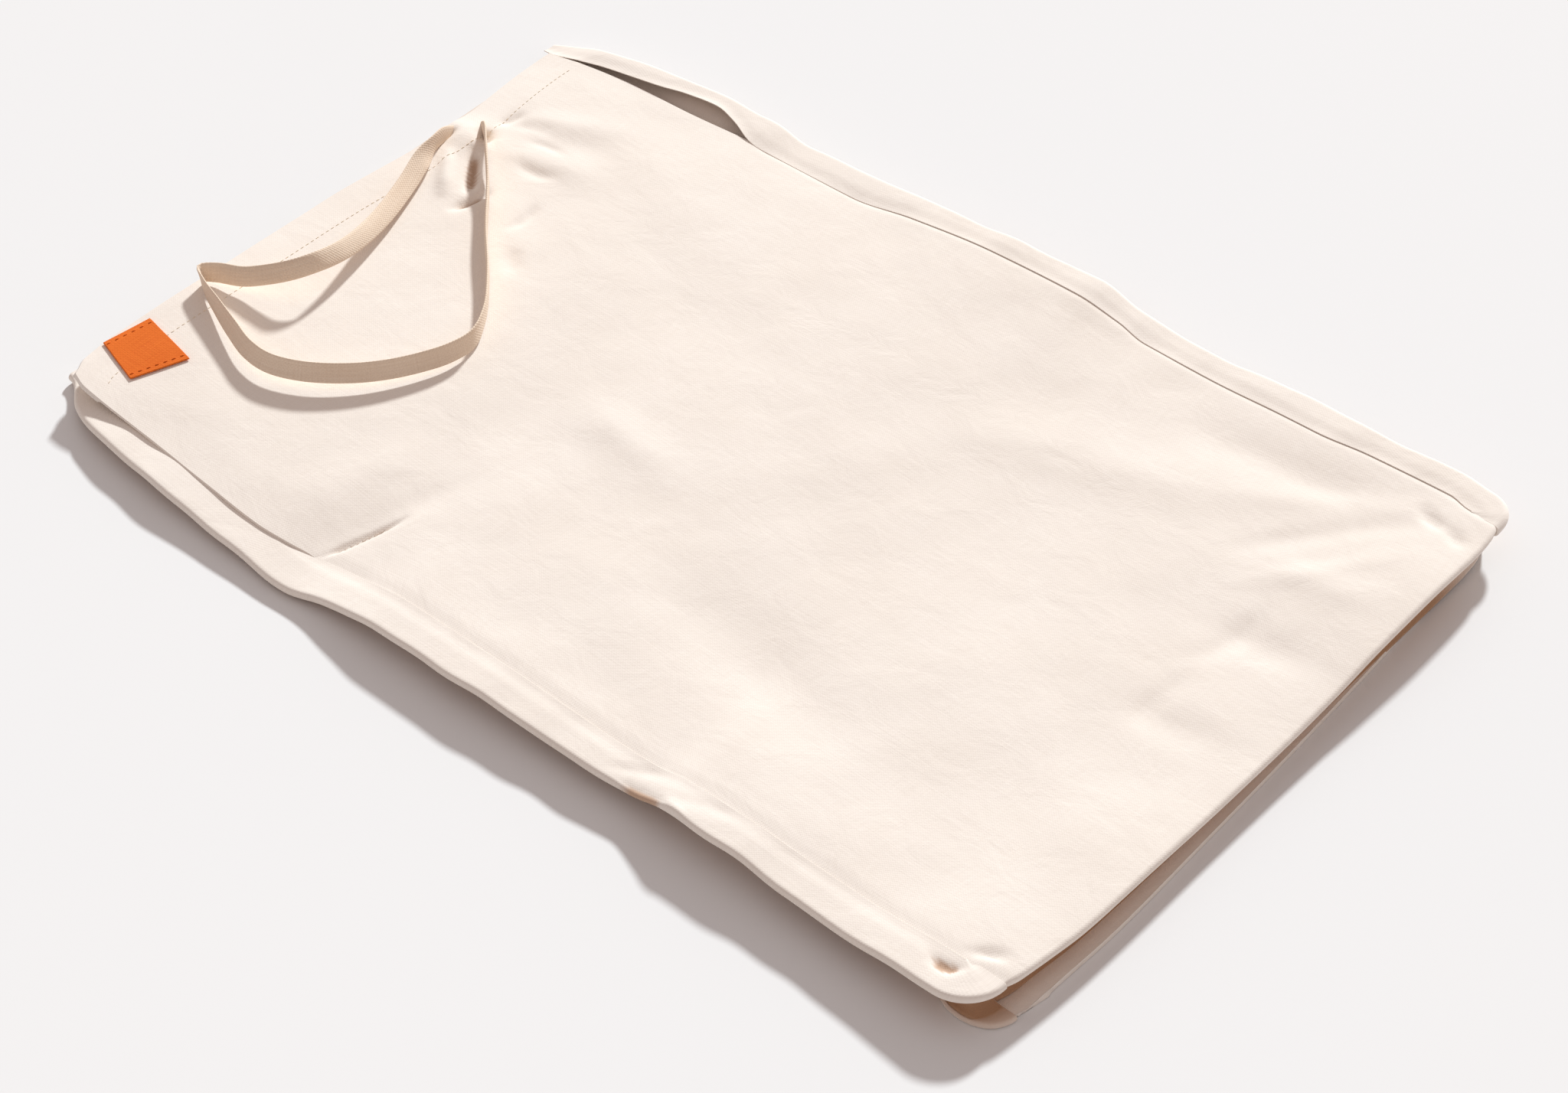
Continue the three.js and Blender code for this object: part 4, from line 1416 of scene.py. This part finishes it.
@dataclass
class StitchRun:
    """A run of machine stitches that lies on a cloth."""

    name: str
    line: Array
    stitch: float = 2.0
    pitch: float = 2.7
    radius: float = 0.15
    rise: float = 0.55  # of its middle, and sink of its ends, in radii
    tip: float = 0.02  # least square of its thickness at the ends, in radii
    rings: int = 7
    sides: int = 6

    def build(self, material: bpy.types.Material) -> bpy.types.Object:
        """Make the stitches: each a short round thread on a parabola, sunk at both its ends.

        Args:
            material: The thread's material.

        Returns:
            All stitches of the run as one piece.
        """
        length = np.linalg.norm(np.diff(self.line, axis=0), axis=1).sum()
        middle = evenly(self.line, max(2, int(length / self.pitch)))
        ahead = unit(np.gradient(middle, axis=0))
        out = np.cross(ahead, UP)
        up = np.cross(out, ahead)
        t = np.linspace(-1.0, 1.0, self.rings)
        rise = self.radius * (self.rise - 2.0 * self.rise * t**2)
        size = self.radius * np.sqrt(np.maximum(1.0 - t**4, self.tip))
        angle = np.linspace(0.0, 2.0 * math.pi, self.sides, endpoint=False)
        spine = (
            middle[:, None]
            + (t * self.stitch / 2.0)[None, :, None] * ahead[:, None]
            + rise[None, :, None] * up[:, None]
        )
        ring = np.cos(angle)[None, :, None] * out[:, None] + np.sin(angle)[None, :, None] * up[:, None]
        points = spine[:, :, None] + size[None, :, None, None] * ring[:, None]
        index = np.arange(points[..., 0].size).reshape(points.shape[:3])
        caps = [*index[:, 0, ::-1], *index[:, -1]]
        flat = points.reshape(-1, 3)
        draft = MeshDraft(flat, tube_quads(index), flat * (1.0 - UP), caps)
        piece = draft.to_object(self.name, material)
        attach(piece, BODY)
        return piece


@dataclass
class Studio:
    """The pale floor, the soft light and the camera at the photograph's viewing angle."""

    target: tuple[float, float, float] = (0.0314, -0.0210, 0.0)  # what the camera looks at, m
    azimuth: float = 41.1  # degrees
    elevation: float = 43.9
    distance: float = 1.395  # m
    focal_px: float = 5000.0  # focal length, in pixels of the photograph
    frame_px: float = 2048.0  # the photograph's width
    sun_toward: tuple[float, float, float] = (0.35, -1.0, -0.64)
    sun_strength: float = 3.9
    sun_angle: float = 5.0  # degrees, which softens the shadows
    sun_colour: tuple[float, float, float] = (0.935, 0.985, 1.0)
    sky_strength: float = 0.49
    sky_colour: Colour = (1.0, 0.88, 0.85, 1.0)
    floor_half: float = 12.0  # half its length and width, m
    floor_z: float = -0.0001

    def floor(self) -> None:
        """Lay the floor, a wide square just under the bag."""
        h, z = self.floor_half, self.floor_z
        mesh = bpy.data.meshes.new("floor")
        corners = [(-h, -h, z), (h, -h, z), (h, h, z), (-h, h, z)]
        mesh.from_pydata(corners, [], [(0, 1, 2, 3)])
        mesh.materials.append(PALE_FLOOR.material())
        obj = bpy.data.objects.new("floor", mesh)
        bpy.context.scene.collection.objects.link(obj)

    def light(self) -> None:
        """Hang the light: one soft sun from the far side, and an even sky."""
        lamp = bpy.data.lights.new("key", "SUN")
        lamp.energy = self.sun_strength
        lamp.angle = math.radians(self.sun_angle)
        lamp.color = self.sun_colour
        sun = bpy.data.objects.new("key", lamp)
        sun.rotation_mode = "QUATERNION"
        sun.rotation_quaternion = Vector(self.sun_toward).to_track_quat("-Z", "Y")
        bpy.context.scene.collection.objects.link(sun)
        world = bpy.data.worlds.new("sky")
        world.use_nodes = True
        sky = world.node_tree.nodes["Background"]
        sky.inputs["Color"].default_value = self.sky_colour
        sky.inputs["Strength"].default_value = self.sky_strength
        bpy.context.scene.world = world

    def camera(self) -> None:
        """Stand the camera at the photograph's viewing angle and set its lens."""
        azimuth, elevation = math.radians(self.azimuth), math.radians(self.elevation)
        back = Vector(
            (
                math.sin(azimuth) * math.cos(elevation),
                -math.cos(azimuth) * math.cos(elevation),
                math.sin(elevation),
            )
        )
        lens = bpy.data.cameras.new("camera")
        lens.sensor_width = 36.0
        lens.lens = lens.sensor_width * self.focal_px / self.frame_px
        lens.clip_start, lens.clip_end = 0.01, 100.0
        camera = bpy.data.objects.new("camera", lens)
        camera.location = Vector(self.target) + back * self.distance
        camera.rotation_mode = "QUATERNION"
        camera.rotation_quaternion = (-back).to_track_quat("-Z", "Y")
        bpy.context.scene.collection.objects.link(camera)
        bpy.context.scene.camera = camera

    def build(self) -> None:
        """Set the whole stage."""
        self.floor()
        self.light()
        self.camera()
        bpy.context.scene.view_settings.view_transform = "Standard"


THREAD_LIFT = 0.05  # of a run's line over its cloth
LABEL_THREAD = 0.22  # radius of the thread on the label
CASING_SPAN = (0.02, 0.98)  # shares of the mouth that its run goes from and to
LABEL_SPAN = (0.06, 0.94)  # and of the label's width
LABEL_RUNS = (("label_stitches_mouth", 0.08), ("label_stitches_inner", 0.92))  # and of its length


def run_on(front: FrontPanel, x: Array, y: Array, lift: float) -> Array:
    """Return points on the front panel's upper face, a little above it."""
    return np.stack([x, y, front.height(x, y) + lift], axis=-1)


def sewing(front: FrontPanel, label: SewnLabel) -> list[StitchRun]:
    """Return the runs of stitches that hold the casing and the label.

    Args:
        front: The panel that they are sewn through.
        label: The label.

    Returns:
        The runs, each with points along its line.
    """
    share = np.linspace(*CASING_SPAN, 200)
    start = np.full_like(share, front.edges_read_at[0])
    y = mix(front.near_line(start), front.far_line(start), share)
    casing = run_on(front, front.mouth(y) + front.casing_depth, y, THREAD_LIFT)
    runs = [StitchRun("casing_stitches", casing)]
    v = np.linspace(*LABEL_SPAN, 40)
    for name, u in LABEL_RUNS:
        x, y = label.place(np.full_like(v, u), v)
        lift = label.clearance + label.thickness + THREAD_LIFT
        runs.append(StitchRun(name, run_on(front, x, y, lift), radius=LABEL_THREAD))
    return runs


def main() -> None:
    """Build the bag's pieces in order, and report each."""
    logging.basicConfig(level=logging.INFO, format="%(name)s: %(message)s")
    Studio().build()
    cotton = BAG_COTTON.material()
    thread = SEWING_THREAD.material()
    weave = LABEL_WEAVE.material()
    tape = DrawTape()
    back = BackPanel()
    front = FrontPanel(back)
    label = SewnLabel(front)
    pieces = [
        tape.build(TAPE_COTTON.material()),
        back.build(cotton),
        front.build(cotton),
        label.build(weave),
        *(run.build(weave if "label" in run.name else thread) for run in sewing(front, label)),
    ]
    for piece in pieces:
        LOG.info("%s: %d faces", piece.name, len(piece.data.polygons))
    LOG.info("tape length %.0f mm", tape.length())


if __name__ == "__main__":
    main()
